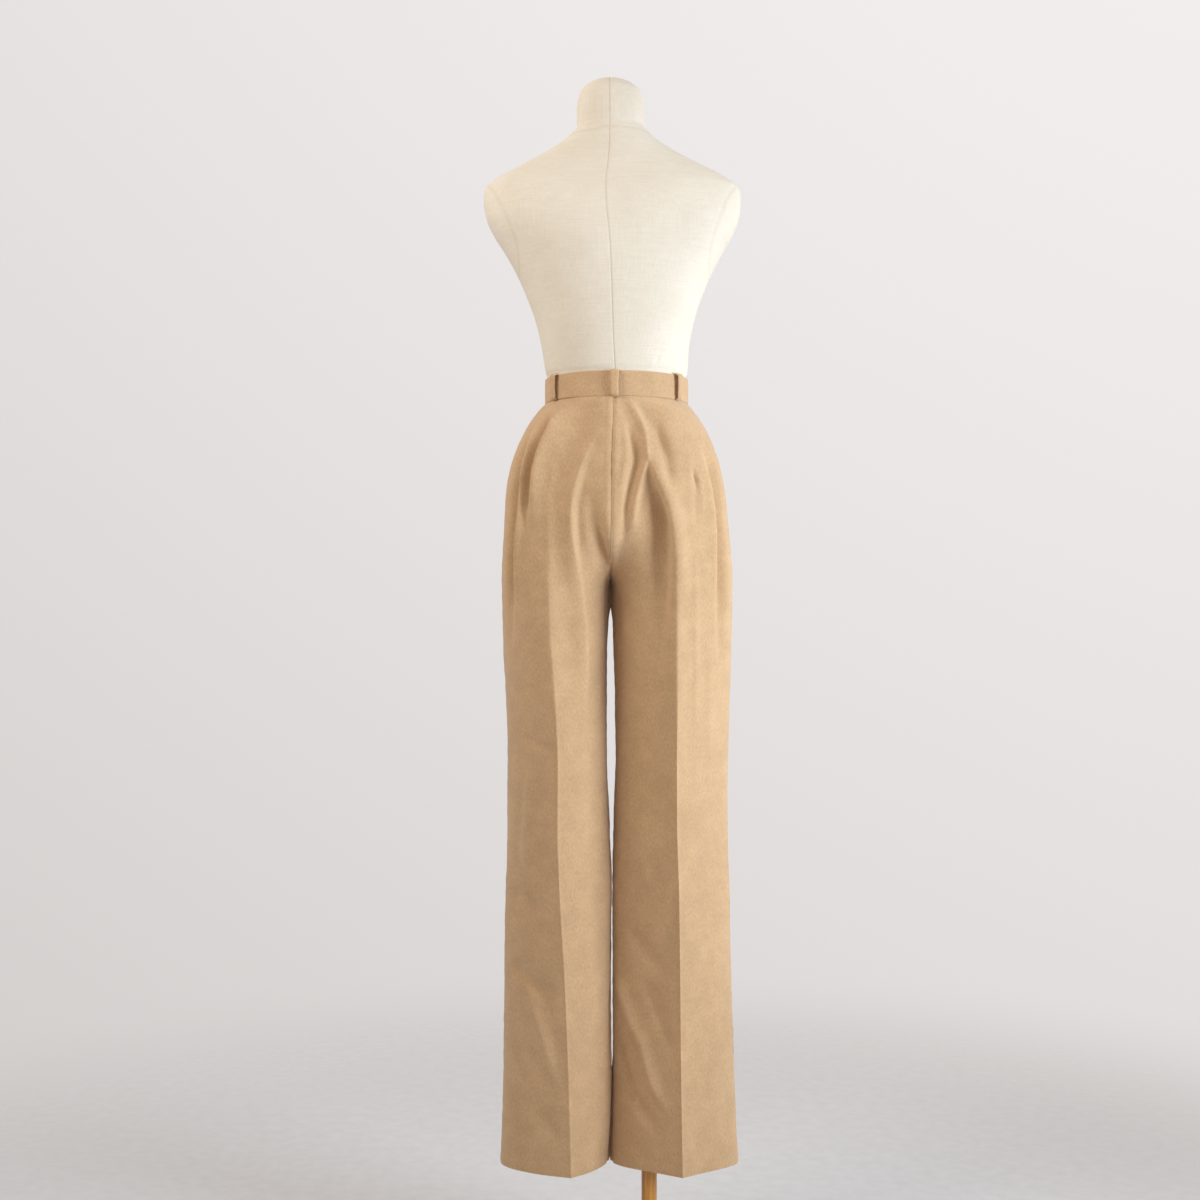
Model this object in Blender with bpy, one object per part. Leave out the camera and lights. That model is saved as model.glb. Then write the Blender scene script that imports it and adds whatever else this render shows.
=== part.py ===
"""Straight-leg trousers with a high waist, on a limbless dress form that stands on a pole and a round base.

Metres, +Z up. The garment's front faces -Y and its back faces +Y, and the wearer's left is +X.
The origin is on the floor, at the centre of the stand's base. The pole runs down inside the right
leg, so the body's centre plane lies BODY_X to the left of the pole.
"""

import math

import bpy
from mathutils import Vector

# Driving sizes of the garment
BODY_X = 0.048
WAIST_TOP_Z = 1.297
BAND_HEIGHT = 0.036
CROTCH_Z = 1.005
HEM_Z = 0.148
CLOTH = 0.002
SEAM_GAP = 0.0003
BAND_BOTTOM_Z = WAIST_TOP_Z - BAND_HEIGHT
PANEL_TOP_Z = BAND_BOTTOM_Z - SEAM_GAP

# Driving sizes of the form and its stand
FORM_WAIST_HALF_WIDTH = 0.1015
FORM_WAIST_HALF_DEPTH = 0.0825
FORM_BASE_Z = 1.058
FORM_TOP_Z = 1.7415
POLE_RADIUS = 0.0113
BASE_RADIUS = 0.150
BASE_HEIGHT = 0.024
COLLAR_HEIGHT = 0.030

# The waistband, the lap of its right end over its left end at the centre front, and its button
BAND_THICKNESS = 0.003
BAND_CLEARANCE = 0.0005
LAP_PAST_CENTRE = 0.010
UNDERLAP = 0.026
LAP_LEVEL = 0.040
LAP_RAMP = 0.018
BUTTON_RADIUS = 0.0085
BUTTON_THICKNESS = 0.0032

# The belt loops, by their angle round the waist from the centre back towards the wearer's left
LOOP_WIDTH = 0.011
LOOP_THICKNESS = 0.002
LOOP_STAND_OFF = 0.0055
LOOP_TURN = 0.0006
LOOP_TURN_LONG = 0.003
LOOP_ANGLES = {
    "belt_loop_back": 2.0,
    "belt_loop_left_side": 57.0,
    "belt_loop_right_side": -56.0,
    "belt_loop_left_front": 138.0,
    "belt_loop_right_front": -138.0,
}

# The fly: a strip on the right front, along the centre seam, that turns in to it at its foot
FLY_LENGTH = 0.165
FLY_WIDTH = 0.032
FLY_FOOT_WIDTH = 0.009
FLY_THICKNESS = 0.0012
FLY_GAP = 0.0005
FLY_COLUMNS = 8

# Grid of each cloth panel
ROWS_ABOVE_CROTCH = 22
ROWS_BELOW_CROTCH = 13
COLUMNS_PER_ARC = 9

SIDES = {"left": 1, "right": -1}

# Level sections of each leg, outwards from the body's centre plane: the centre seam or inseam, the
# crease line at the back with its depth, the crease line at the front, the side seam, and how deep
# a valley the side seam lies in.
LEG_COLUMNS = (
    "z", "inner_x", "back_crease_x", "back_crease_y", "front_crease_x", "side_x", "valley",
)
LEG_ROWS = {
    "left": (
        (1.261, 0.0045, 0.0560, 0.0722, 0.056, 0.1045, 0.0),
        (1.247, 0.0050, 0.0615, 0.0755, 0.060, 0.1165, 0.2),
        (1.225, 0.0058, 0.0700, 0.0805, 0.066, 0.1290, 0.5),
        (1.194, 0.0070, 0.0800, 0.0870, 0.073, 0.1415, 0.8),
        (1.159, 0.0077, 0.0925, 0.0915, 0.078, 0.1518, 1.0),
        (1.124, 0.0082, 0.0960, 0.0960, 0.082, 0.1582, 1.0),
        (1.089, 0.0086, 0.0962, 0.0990, 0.085, 0.1605, 1.0),
        (1.036, 0.0090, 0.0960, 0.1005, 0.087, 0.1638, 0.9),
        (1.005, 0.0095, 0.0960, 0.1005, 0.088, 0.1656, 0.8),
        (0.965, 0.0110, 0.0957, 0.0990, 0.088, 0.1656, 0.7),
        (0.912, 0.0136, 0.0939, 0.0965, 0.087, 0.1650, 0.5),
        (0.824, 0.0140, 0.0875, 0.0920, 0.086, 0.1612, 0.2),
        (0.735, 0.0138, 0.0840, 0.0870, 0.085, 0.1598, 0.0),
        (0.647, 0.0104, 0.0845, 0.0825, 0.086, 0.1604, 0.0),
        (0.550, 0.0078, 0.0815, 0.0790, 0.088, 0.1624, 0.0),
        (0.436, 0.0078, 0.0750, 0.0755, 0.092, 0.1648, 0.0),
        (0.300, 0.0080, 0.0695, 0.0735, 0.098, 0.1658, 0.0),
        (0.200, 0.0100, 0.0668, 0.0725, 0.102, 0.1680, 0.0),
        (0.148, 0.0138, 0.0655, 0.0720, 0.105, 0.1706, 0.0),
    ),
    "right": (
        (1.261, -0.0045, 0.0500, 0.0751, 0.056, 0.1045, 0.0),
        (1.247, -0.0050, 0.0500, 0.0795, 0.060, 0.1145, 0.2),
        (1.225, -0.0058, 0.0500, 0.0860, 0.066, 0.1278, 0.3),
        (1.194, -0.0070, 0.0505, 0.0940, 0.073, 0.1405, 0.4),
        (1.159, -0.0077, 0.0540, 0.1015, 0.078, 0.1506, 0.5),
        (1.124, -0.0082, 0.0645, 0.1060, 0.082, 0.1570, 0.6),
        (1.089, -0.0086, 0.0755, 0.1075, 0.085, 0.1604, 0.6),
        (1.036, -0.0090, 0.0820, 0.1075, 0.087, 0.1650, 0.7),
        (1.005, -0.0095, 0.0836, 0.1065, 0.088, 0.1678, 0.7),
        (0.965, -0.0078, 0.0845, 0.1045, 0.088, 0.1684, 0.6),
        (0.912, -0.0048, 0.0846, 0.1010, 0.087, 0.1676, 0.5),
        (0.824, -0.0020, 0.0848, 0.0945, 0.085, 0.1654, 0.2),
        (0.735, -0.0012, 0.0846, 0.0880, 0.083, 0.1628, 0.0),
        (0.647, -0.0038, 0.0852, 0.0830, 0.081, 0.1636, 0.0),
        (0.550, -0.0062, 0.0880, 0.0790, 0.080, 0.1656, 0.0),
        (0.436, -0.0060, 0.0897, 0.0755, 0.079, 0.1684, 0.0),
        (0.300, -0.0058, 0.0912, 0.0735, 0.080, 0.1728, 0.0),
        (0.200, -0.0060, 0.0926, 0.0725, 0.082, 0.1764, 0.0),
        (0.148, -0.0066, 0.0936, 0.0720, 0.083, 0.1796, 0.0),
    ),
}

# Depth of the garment, back positive: centre seams, side seam and front crease line, and how
# sharply the creases are pressed, from 0 for a round turn to 1 for a straight-sided fold.
DEPTH_COLUMNS = ("z", "back_y", "side_y", "front_crease_y", "front_y", "pressed")
DEPTH_ROWS = (
    (1.261, 0.0855, 0.0000, -0.0725, -0.0855, 0.00),
    (1.230, 0.0950, 0.0020, -0.0845, -0.0940, 0.00),
    (1.194, 0.1030, 0.0040, -0.0960, -0.1000, 0.08),
    (1.159, 0.1080, 0.0050, -0.1045, -0.1040, 0.22),
    (1.124, 0.1095, 0.0050, -0.1095, -0.1065, 0.36),
    (1.089, 0.1085, 0.0050, -0.1110, -0.1075, 0.46),
    (1.036, 0.1060, 0.0040, -0.1105, -0.1075, 0.52),
    (0.950, 0.1040, 0.0020, -0.1045, -0.1070, 0.60),
    (0.824, 0.1020, 0.0000, -0.0940, -0.1050, 0.66),
    (0.647, 0.1000, 0.0000, -0.0840, -0.1000, 0.72),
    (0.440, 0.1000, 0.0000, -0.0765, -0.0950, 0.76),
    (0.148, 0.1000, 0.0000, -0.0730, -0.0950, 0.80),
)
PRESS_SHARE = {"back_left": 0.75, "back_right": 1.15, "front_left": 0.9, "front_right": 0.9}

# The curved ends of the centre seams, which run under the body to the crotch point, and how far
# above and below that point the cloth beside them turns from seat to leg
BACK_FORK_RISE = 0.078
FRONT_FORK_RISE = 0.055
TURN_ABOVE = 0.110
TURN_BELOW = 0.170
TURN_SHARE = 0.30
SIDE_DROP = 0.045
RELAX_PASSES = 20
RELAX_REACH = 0.080
RELAX_FULL_SHARE = 0.4
RELAX_RATE = 0.6
NORMAL_PASSES = 2

# Lengths of the Bezier handles of a level section, as shares of the arc's own chord: at a crease,
# on the seat's centre seam, and at a leg's seams where the crease is round and where it is pressed
CREASE_HANDLE = 0.36
SEAT_HANDLE = 0.36
ROUND_SEAM_HANDLE = 0.39
PRESSED_SEAM_HANDLE = 0.17

# The shares of a fold's run at which it has reached its full height and at which it starts to fade
FOLD_FULL = 0.3
FOLD_FADES = 0.55

# Height below the waistband over which a panel's section leaves the waist's own ellipse
WAIST_BLEND = 0.022

# How the wall meets the side seam where it lies in a valley
VALLEY_BACK_SLOPE = 0.22
VALLEY_FRONT_SLOPE = 0.50

# Largest folds of each panel: the line that a fold follows, from its top past its middle to its
# foot, outwards from the centre plane, its height out of the cloth (a trough is negative), its
# half width, and the share of its height that it has where it starts.
FOLD_COLUMNS = (
    "z_top", "x_top", "z_mid", "x_mid", "z_low", "x_low", "lift", "width", "start",
)
FOLD_ROWS = {
    "back_left": (
        (1.240, 0.012, 1.100, 0.0610, 0.800, 0.061, 0.0050, 0.0090, 0.0),
        (1.190, 0.020, 1.075, 0.0350, 0.900, 0.034, -0.0030, 0.0130, 0.0),
        (1.261, 0.096, 1.127, 0.1440, 0.900, 0.157, -0.0070, 0.0085, 0.0),
        (1.261, 0.110, 1.120, 0.1300, 0.960, 0.146, 0.0025, 0.0070, 0.0),
        (1.261, 0.084, 1.170, 0.1160, 1.040, 0.131, -0.0045, 0.0075, 0.0),
        (1.235, 0.070, 1.170, 0.1000, 1.100, 0.112, 0.0020, 0.0090, 0.0),
    ),
    "back_right": (
        (1.261, 0.020, 1.165, 0.0245, 1.020, 0.004, -0.0045, 0.0090, 0.0),
        (1.261, 0.018, 1.170, 0.0410, 1.050, 0.034, 0.0040, 0.0100, 0.2),
        (1.165, 0.044, 1.090, 0.0500, 0.940, 0.050, -0.0050, 0.0140, 0.0),
        (1.240, 0.061, 1.180, 0.0670, 1.110, 0.076, -0.0035, 0.0090, 0.0),
        (1.261, 0.094, 1.130, 0.1470, 0.860, 0.160, -0.0060, 0.0080, 0.0),
        (1.235, 0.085, 1.120, 0.1330, 0.900, 0.148, 0.0025, 0.0080, 0.0),
    ),
    "front_left": (
        (1.261, 0.034, 1.130, 0.0590, 1.020, 0.068, -0.0045, 0.0100, 0.0),
        (1.261, 0.047, 1.130, 0.0740, 0.960, 0.085, 0.0060, 0.0095, 0.2),
        (1.261, 0.060, 1.160, 0.0890, 1.060, 0.103, -0.0045, 0.0095, 0.0),
        (1.261, 0.073, 1.150, 0.1070, 1.030, 0.123, 0.0055, 0.0095, 0.2),
    ),
    "front_right": (
        (1.261, 0.034, 1.130, 0.0600, 1.000, 0.069, -0.0045, 0.0100, 0.0),
        (1.261, 0.047, 1.130, 0.0750, 0.970, 0.086, 0.0060, 0.0095, 0.2),
        (1.261, 0.060, 1.155, 0.0900, 1.050, 0.104, -0.0045, 0.0095, 0.0),
        (1.261, 0.073, 1.145, 0.1080, 1.045, 0.124, 0.0050, 0.0095, 0.2),
    ),
}

# The form, as level sections: height, half width, depth behind and before its centre line, how
# far the centre leans towards the wearer's left, and squareness
FORM_ROWS = (
    (1.058, 0.118, 0.079, 0.073, 0.0, 2.0),
    (1.061, 0.125, 0.085, 0.079, 0.0, 2.0),
    (1.075, 0.131, 0.091, 0.084, 0.0, 2.0),
    (1.110, 0.135, 0.095, 0.088, 0.0, 2.0),
    (1.145, 0.132, 0.095, 0.089, 0.0, 2.0),
    (1.180, 0.124, 0.092, 0.088, 0.0, 2.0),
    (1.215, 0.113, 0.088, 0.0855, 0.0, 2.0),
    (1.240, 0.1055, 0.0850, 0.0838, 0.0, 2.0),
    (1.258, FORM_WAIST_HALF_WIDTH, FORM_WAIST_HALF_DEPTH, FORM_WAIST_HALF_DEPTH, 0.0, 2.0),
    (1.299, FORM_WAIST_HALF_WIDTH, FORM_WAIST_HALF_DEPTH, FORM_WAIST_HALF_DEPTH, 0.0, 2.0),
    (1.306, 0.1035, 0.0842, 0.0848, 0.0002, 2.0),
    (1.346, 0.1085, 0.0900, 0.0945, 0.0020, 2.05),
    (1.386, 0.1175, 0.0955, 0.1055, 0.0026, 2.1),
    (1.4165, 0.1280, 0.0990, 0.1130, 0.0032, 2.1),
    (1.452, 0.1430, 0.1015, 0.1185, 0.0036, 2.15),
    (1.484, 0.1600, 0.1020, 0.1180, 0.0042, 2.2),
    (1.510, 0.1755, 0.0990, 0.1110, 0.0050, 2.3),
    (1.532, 0.1850, 0.0940, 0.1020, 0.0058, 2.35),
    (1.556, 0.1885, 0.0870, 0.0910, 0.0064, 2.35),
    (1.574, 0.1870, 0.0800, 0.0810, 0.0066, 2.3),
    (1.586, 0.1760, 0.0745, 0.0750, 0.0068, 2.2),
    (1.598, 0.1560, 0.0700, 0.0700, 0.0070, 2.1),
    (1.612, 0.1290, 0.0645, 0.0645, 0.0073, 2.05),
    (1.629, 0.0970, 0.0585, 0.0580, 0.0077, 2.0),
    (1.646, 0.0710, 0.0530, 0.0520, 0.0081, 2.0),
    (1.658, 0.0580, 0.0495, 0.0490, 0.0084, 2.0),
    (1.668, 0.0500, 0.0470, 0.0470, 0.0086, 2.0),
    (1.694, 0.0493, 0.0465, 0.0465, 0.0088, 2.0),
    (1.716, 0.0455, 0.0440, 0.0440, 0.0088, 2.0),
    (1.730, 0.0360, 0.0355, 0.0355, 0.0088, 2.0),
    (1.738, 0.0205, 0.0200, 0.0200, 0.0088, 2.0),
)
FORM_SIDES = 40

COLOURS = {
    "wool": ((0.56, 0.38, 0.21, 1.0), 0.85, 0.0),
    "form_cloth": ((0.86, 0.79, 0.67, 1.0), 0.75, 0.0),
    "wood": ((0.50, 0.27, 0.09, 1.0), 0.45, 0.0),
    "button": ((0.36, 0.22, 0.11, 1.0), 0.35, 0.0),
}


def step(low, high, value):
    """0 at low and 1 at high, with a smooth turn at both."""
    share = min(1.0, max(0.0, (value - low) / (high - low)))
    return share * share * (3.0 - 2.0 * share)


def mix(a, b, share):
    return a + (b - a) * share


def through(knots, at):
    """A smooth curve through (place, value) pairs, which never overshoots a value."""
    knots = sorted(knots)
    if at <= knots[0][0]:
        return knots[0][1]
    if at >= knots[-1][0]:
        return knots[-1][1]
    slopes = [(b[1] - a[1]) / (b[0] - a[0]) for a, b in zip(knots, knots[1:])]
    i = max(n for n, knot in enumerate(knots[:-1]) if knot[0] <= at)

    def tangent(n):
        if n in (0, len(knots) - 1):
            return slopes[min(n, len(slopes) - 1)]
        before, after = slopes[n - 1], slopes[n]
        return 0.0 if before * after <= 0.0 else 2.0 * before * after / (before + after)

    (x0, y0), (x1, y1) = knots[i], knots[i + 1]
    span = x1 - x0
    s = (at - x0) / span
    rise = y1 - y0
    start, end = tangent(i) * span, tangent(i + 1) * span
    return y0 + s * (start + s * ((3 * rise - 2 * start - end) + s * (start + end - 2 * rise)))


def read(columns, rows, name, z):
    """The value of a table's column at height z."""
    index = columns.index(name)
    return through([(row[0], row[index]) for row in rows], z)


def fork_y(column, rise, z):
    """Depth of a centre seam: its column's value, drawn in to 0 on a quarter ellipse at the crotch."""
    top = CROTCH_Z + rise
    depth = read(DEPTH_COLUMNS, DEPTH_ROWS, column, max(z, top))
    fall = min(1.0, max(0.0, (top - z) / rise))
    return depth * math.sqrt(1.0 - fall * fall)


def unit(x, y):
    length = math.hypot(x, y) or 1.0
    return x / length, y / length


def arc(start, start_turn, end, end_turn, share):
    """A point of a Bezier arc. Each turn is the handle's vector from its own end."""
    first = (start[0] + start_turn[0], start[1] + start_turn[1])
    second = (end[0] + end_turn[0], end[1] + end_turn[1])
    rest = 1.0 - share
    weights = (rest**3, 3 * rest * rest * share, 3 * rest * share * share, share**3)
    return tuple(
        sum(w * p[axis] for w, p in zip(weights, (start, first, second, end)))
        for axis in (0, 1)
    )


def turn_share(rise, z, share):
    """How far a place has turned from the seat's shape, 0, to the leg's own tube, 1."""
    fall = min(1.0, max(0.0, (CROTCH_Z + rise - z) / rise))
    at_seam = 1.0 - math.sqrt(1.0 - fall * fall)
    beside = 1.0 - step(CROTCH_Z - TURN_BELOW, CROTCH_Z + TURN_ABOVE, z)
    return mix(at_seam, beside, step(0.0, TURN_SHARE, share))


def panel_point(side, face, z, share):
    """A point of a panel's outer face: share 0 is the centre seam or inseam, 1 is the side seam."""
    x, y = section_point(side, face, z, share)
    at_waist = step(PANEL_TOP_Z - WAIST_BLEND, PANEL_TOP_Z, z)
    if at_waist == 0.0:
        return x, y
    half_width = read(LEG_COLUMNS, LEG_ROWS[side], "side_x", z)
    half_depth = read(DEPTH_COLUMNS, DEPTH_ROWS, face + "_y", z)
    ellipse_y = half_depth * math.sqrt(max(0.0, 1.0 - (x / half_width) ** 2))
    ellipse_y += math.copysign(SEAM_GAP / 2, half_depth)
    return x, mix(y, ellipse_y, at_waist)


def section_point(side, face, z, share):
    """The same by the tables alone, without the waist's ellipse."""
    def leg(name):
        return read(LEG_COLUMNS, LEG_ROWS[side], name, z)

    def depth(name):
        return read(DEPTH_COLUMNS, DEPTH_ROWS, name, z)

    way = 1.0 if face == "back" else -1.0
    inner_x = leg("inner_x") + SEAM_GAP / 2
    seat_inner = (inner_x, depth(face + "_y"))
    leg_inner = (inner_x, way * SEAM_GAP / 2)
    crease_y = leg("back_crease_y") if face == "back" else depth("front_crease_y")
    crease = (leg(face + "_crease_x"), crease_y)
    outer = (leg("side_x"), depth("side_y") + way * SEAM_GAP / 2)
    pressed = min(1.0, PRESS_SHARE[face + "_" + side] * depth("pressed"))
    in_way = unit(crease[0] - leg_inner[0], crease[1] - leg_inner[1])
    out_way = unit(outer[0] - crease[0], outer[1] - crease[1])
    round_way = unit(in_way[0] + out_way[0], in_way[1] + out_way[1])
    inner_turn, outer_turn = (
        unit(mix(round_way[0], straight[0], pressed), mix(round_way[1], straight[1], pressed))
        for straight in (in_way, out_way)
    )
    seam_handle = mix(ROUND_SEAM_HANDLE, PRESSED_SEAM_HANDLE, pressed)
    if share < 0.5:
        arcs = []
        for start, leave, length_share in (
            (seat_inner, (1.0, 0.0), SEAT_HANDLE),
            (leg_inner, (0.0, way), seam_handle),
        ):
            run = math.dist(start, crease)
            leaving = (leave[0] * length_share * run, leave[1] * length_share * run)
            hold = CREASE_HANDLE * run
            arriving = (-inner_turn[0] * hold, -inner_turn[1] * hold)
            arcs.append(arc(start, leaving, crease, arriving, share * 2.0))
        rise = BACK_FORK_RISE if face == "back" else FRONT_FORK_RISE
        turned = turn_share(rise, z, share)
        return mix(arcs[0][0], arcs[1][0], turned), mix(arcs[0][1], arcs[1][1], turned)
    run = math.dist(crease, outer)
    slope = leg("valley") * (VALLEY_BACK_SLOPE if face == "back" else -VALLEY_FRONT_SLOPE)
    arrive = unit(-slope, -way)
    hold, arrive_hold = CREASE_HANDLE * run, seam_handle * run
    leaving = (outer_turn[0] * hold, outer_turn[1] * hold)
    arriving = (-arrive[0] * arrive_hold, -arrive[1] * arrive_hold)
    return arc(crease, leaving, outer, arriving, share * 2.0 - 1.0)


def fold_lift(panel, x, z):
    """How far the folds push a panel's surface out at a place."""
    lift = 0.0
    for row in FOLD_ROWS[panel]:
        fold = dict(zip(FOLD_COLUMNS, row))
        if not fold["z_low"] < z < fold["z_top"]:
            continue
        centre = through([(fold["z_" + k], fold["x_" + k]) for k in ("top", "mid", "low")], z)
        run = (fold["z_top"] - z) / (fold["z_top"] - fold["z_low"])
        fade = mix(fold["start"], 1.0, step(0.0, FOLD_FULL, run))
        fade *= 1.0 - step(FOLD_FADES, 1.0, run)
        lift += fold["lift"] * fade * math.exp(-(((x - centre) / fold["width"]) ** 2))
    return lift


def fork_heights(face):
    """Heights at even steps down a centre seam, from the waist to the crotch point."""
    column, rise = (
        ("back_y", BACK_FORK_RISE) if face == "back" else ("front_y", FRONT_FORK_RISE)
    )
    fine = 400
    heights = [mix(PANEL_TOP_Z, CROTCH_Z, n / fine) for n in range(fine + 1)]
    # The seam runs level where it reaches the crotch, so the last heights lie closer together.
    heights = [CROTCH_Z + (z - CROTCH_Z) ** 2 / (PANEL_TOP_Z - CROTCH_Z) for z in heights]
    places = [(fork_y(column, rise, z), z) for z in heights]
    along = [0.0]
    for a, b in zip(places, places[1:]):
        along.append(along[-1] + math.dist(a, b))
    knots = list(zip(along, heights))
    return [
        through(knots, along[-1] * n / ROWS_ABOVE_CROTCH)
        for n in range(ROWS_ABOVE_CROTCH + 1)
    ]


def panel_rows(face):
    """(height at the centre seam or inseam, height at the side seam) of each row of a panel."""
    seam = fork_heights(face)
    side_z = CROTCH_Z - SIDE_DROP
    rows = [
        (seam[n], mix(PANEL_TOP_Z, side_z, n / ROWS_ABOVE_CROTCH))
        for n in range(ROWS_ABOVE_CROTCH + 1)
    ]
    for n in range(1, ROWS_BELOW_CROTCH + 1):
        share = n / ROWS_BELOW_CROTCH
        rows.append((mix(CROTCH_Z, HEM_Z, share), mix(side_z, HEM_Z, share)))
    return rows


def relax(grid):
    """Evens out the cloth beside the crotch, with the seams and the crease held where they are."""
    for _ in range(RELAX_PASSES):
        before = [[p.copy() for p in row] for row in grid]
        for i in range(1, len(grid) - 1):
            for j in range(1, COLUMNS_PER_ARC):
                place = before[i][j]
                away = abs(place.z - CROTCH_Z)
                near = 1.0 - step(RELAX_FULL_SHARE * RELAX_REACH, RELAX_REACH, away)
                around = before[i - 1][j] + before[i + 1][j] + before[i][j - 1] + before[i][j + 1]
                grid[i][j] = place.lerp(around / 4.0, RELAX_RATE * near)


def panel_grid(side, face):
    """The outer face of a panel as rows of points, from the centre seam to the side seam."""
    sign = SIDES[side]
    columns = 2 * COLUMNS_PER_ARC
    grid = []
    for seam_z, side_z in panel_rows(face):
        row = []
        for n in range(columns + 1):
            share = n / columns
            z = mix(side_z, seam_z, (1.0 - share) ** 2)
            x, y = panel_point(side, face, z, share)
            row.append(Vector((sign * x, y, z)))
        grid.append(row)
    relax(grid)
    smooth = grid_normals(grid, sign if face == "back" else -sign)
    for n, (row, ways) in enumerate(zip(grid, smooth)):
        if n <= ROWS_ABOVE_CROTCH:
            # A point of the centre seam moves in the seam's own plane.
            ways[0].x = 0.0
        for point, way in zip(row, ways):
            point += way * fold_lift(face + "_" + side, abs(point.x), point.z)
    return grid


def grid_normals(grid, sign):
    """The outward direction at each point of a grid. sign tells which way its rows run."""
    last_row, last = len(grid) - 1, len(grid[0]) - 1
    ways = []
    for i, row in enumerate(grid):
        line = []
        for j in range(last + 1):
            across = row[min(j + 1, last)] - row[max(j - 1, 0)]
            down = grid[min(i + 1, last_row)][j] - grid[max(i - 1, 0)][j]
            way = across.cross(down) * sign
            if i in (0, last_row):
                way.z = 0.0
            line.append(way.normalized())
        ways.append(line)
    return ways


def even_normals(ways):
    """Averages the directions inside a grid, so that the wall's inner face doesn't cross itself."""
    for _ in range(NORMAL_PASSES):
        before = [list(row) for row in ways]
        for i in range(1, len(ways) - 1):
            for j in range(1, len(ways[0]) - 1):
                around = before[i - 1][j] + before[i + 1][j] + before[i][j - 1] + before[i][j + 1]
                ways[i][j] = (before[i][j] * 2.0 + around).normalized()


def shared_edge_normals(back, front, sign):
    """Makes the two panels of a leg thicken the same way along the seams that they share."""
    for n, (back_row, front_row) in enumerate(zip(back, front)):
        both = (back_row[-1] + front_row[-1]).normalized()
        back_row[-1], front_row[-1] = both.copy(), both.copy()
        if n >= ROWS_ABOVE_CROTCH:
            both = (back_row[0] + front_row[0]).normalized()
            back_row[0], front_row[0] = both.copy(), both.copy()
        if n > ROWS_ABOVE_CROTCH:
            continue
        for row in (back_row, front_row):
            if row[0].x * sign > 0.0:
                row[0].x = 0.0
                row[0].normalize()


def shell_mesh(name, outer, inner, sign):
    """A closed wall between two grids of points of one shape."""
    rows, columns = len(outer), len(outer[0])
    points = [p for grid in (outer, inner) for row in grid for p in row]
    offset = rows * columns

    def at(i, j, layer):
        return layer * offset + i * columns + j

    faces = []
    for i in range(rows - 1):
        for j in range(columns - 1):
            a, b, c, d = at(i, j, 0), at(i + 1, j, 0), at(i + 1, j + 1, 0), at(i, j + 1, 0)
            # Both layers are cut along the same diagonal, the shorter one.
            falling = (outer[i][j] - outer[i + 1][j + 1]).length
            rising = (outer[i + 1][j] - outer[i][j + 1]).length
            if falling < rising:
                halves = (a, b, c), (a, c, d)
            else:
                halves = (a, b, d), (b, c, d)
            for half in halves:
                faces.append(half)
                faces.append([n + offset for n in reversed(half)])
    rim = [(0, j) for j in range(columns)]
    rim += [(i, columns - 1) for i in range(1, rows)]
    rim += [(rows - 1, j) for j in range(columns - 2, -1, -1)]
    rim += [(i, 0) for i in range(rows - 2, 0, -1)]
    for a, b in zip(rim, rim[1:] + rim[:1]):
        faces.append([at(*a, 0), at(*b, 0), at(*b, 1), at(*a, 1)])
    if sign > 0:
        faces = [list(reversed(face)) for face in faces]
    mesh = bpy.data.meshes.new(name)
    mesh.from_pydata([tuple(p) for p in points], [], faces)
    mesh.validate()
    mesh.update()
    return mesh


def material(name):
    colour, roughness, metallic = COLOURS[name]
    made = bpy.data.materials.get(name)
    if made is None:
        made = bpy.data.materials.new(name)
        made.use_nodes = True
        shader = made.node_tree.nodes["Principled BSDF"]
        shader.inputs["Base Color"].default_value = colour
        shader.inputs["Roughness"].default_value = roughness
        shader.inputs["Metallic"].default_value = metallic
        made.diffuse_color = colour
    return made


def add_object(name, mesh, finish, offset_x=BODY_X, sharp_degrees=50.0):
    mesh.materials.append(material(finish))
    mesh.shade_smooth()
    mesh.set_sharp_from_angle(angle=math.radians(sharp_degrees))
    made = bpy.data.objects.new(name, mesh)
    made.location.x = offset_x
    bpy.context.scene.collection.objects.link(made)
    return made


def ellipse_point(half_width, back, front, square, angle):
    """A point of a rounded section, by its angle from the centre back towards the left."""
    s, c = math.sin(angle), math.cos(angle)
    power = 2.0 / square
    x = half_width * math.copysign(abs(s) ** power, s)
    y = (back if c > 0.0 else front) * math.copysign(abs(c) ** power, c)
    return x, y


def stacked_rings(name, rings, cap_low, cap_high):
    """A closed solid through level rings of points, from low to high, closed at both ends."""
    count = len(rings[0])
    points = [p for ring in rings for p in ring]
    faces = []
    for i in range(len(rings) - 1):
        for j in range(count):
            k = (j + 1) % count
            faces.append([i * count + k, i * count + j, (i + 1) * count + j, (i + 1) * count + k])
    low, high = len(points), len(points) + 1
    points += [cap_low, cap_high]
    top = (len(rings) - 1) * count
    for j in range(count):
        k = (j + 1) % count
        faces.append([j, k, low])
        faces.append([top + k, top + j, high])
    mesh = bpy.data.meshes.new(name)
    mesh.from_pydata([tuple(p) for p in points], [], faces)
    mesh.validate()
    mesh.update()
    return mesh


def make_form():
    rings = []
    for z, half_width, back, front, lean, square in FORM_ROWS:
        ring = []
        for n in range(FORM_SIDES):
            x, y = ellipse_point(half_width, back, front, square, math.tau * n / FORM_SIDES)
            ring.append((x + lean, y, z))
        rings.append(ring)
    caps = (0.0, 0.0, FORM_BASE_Z), (lean, 0.0, FORM_TOP_Z)
    mesh = stacked_rings("form_torso", rings, *caps)
    add_object("form_torso", mesh, "form_cloth")


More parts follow.
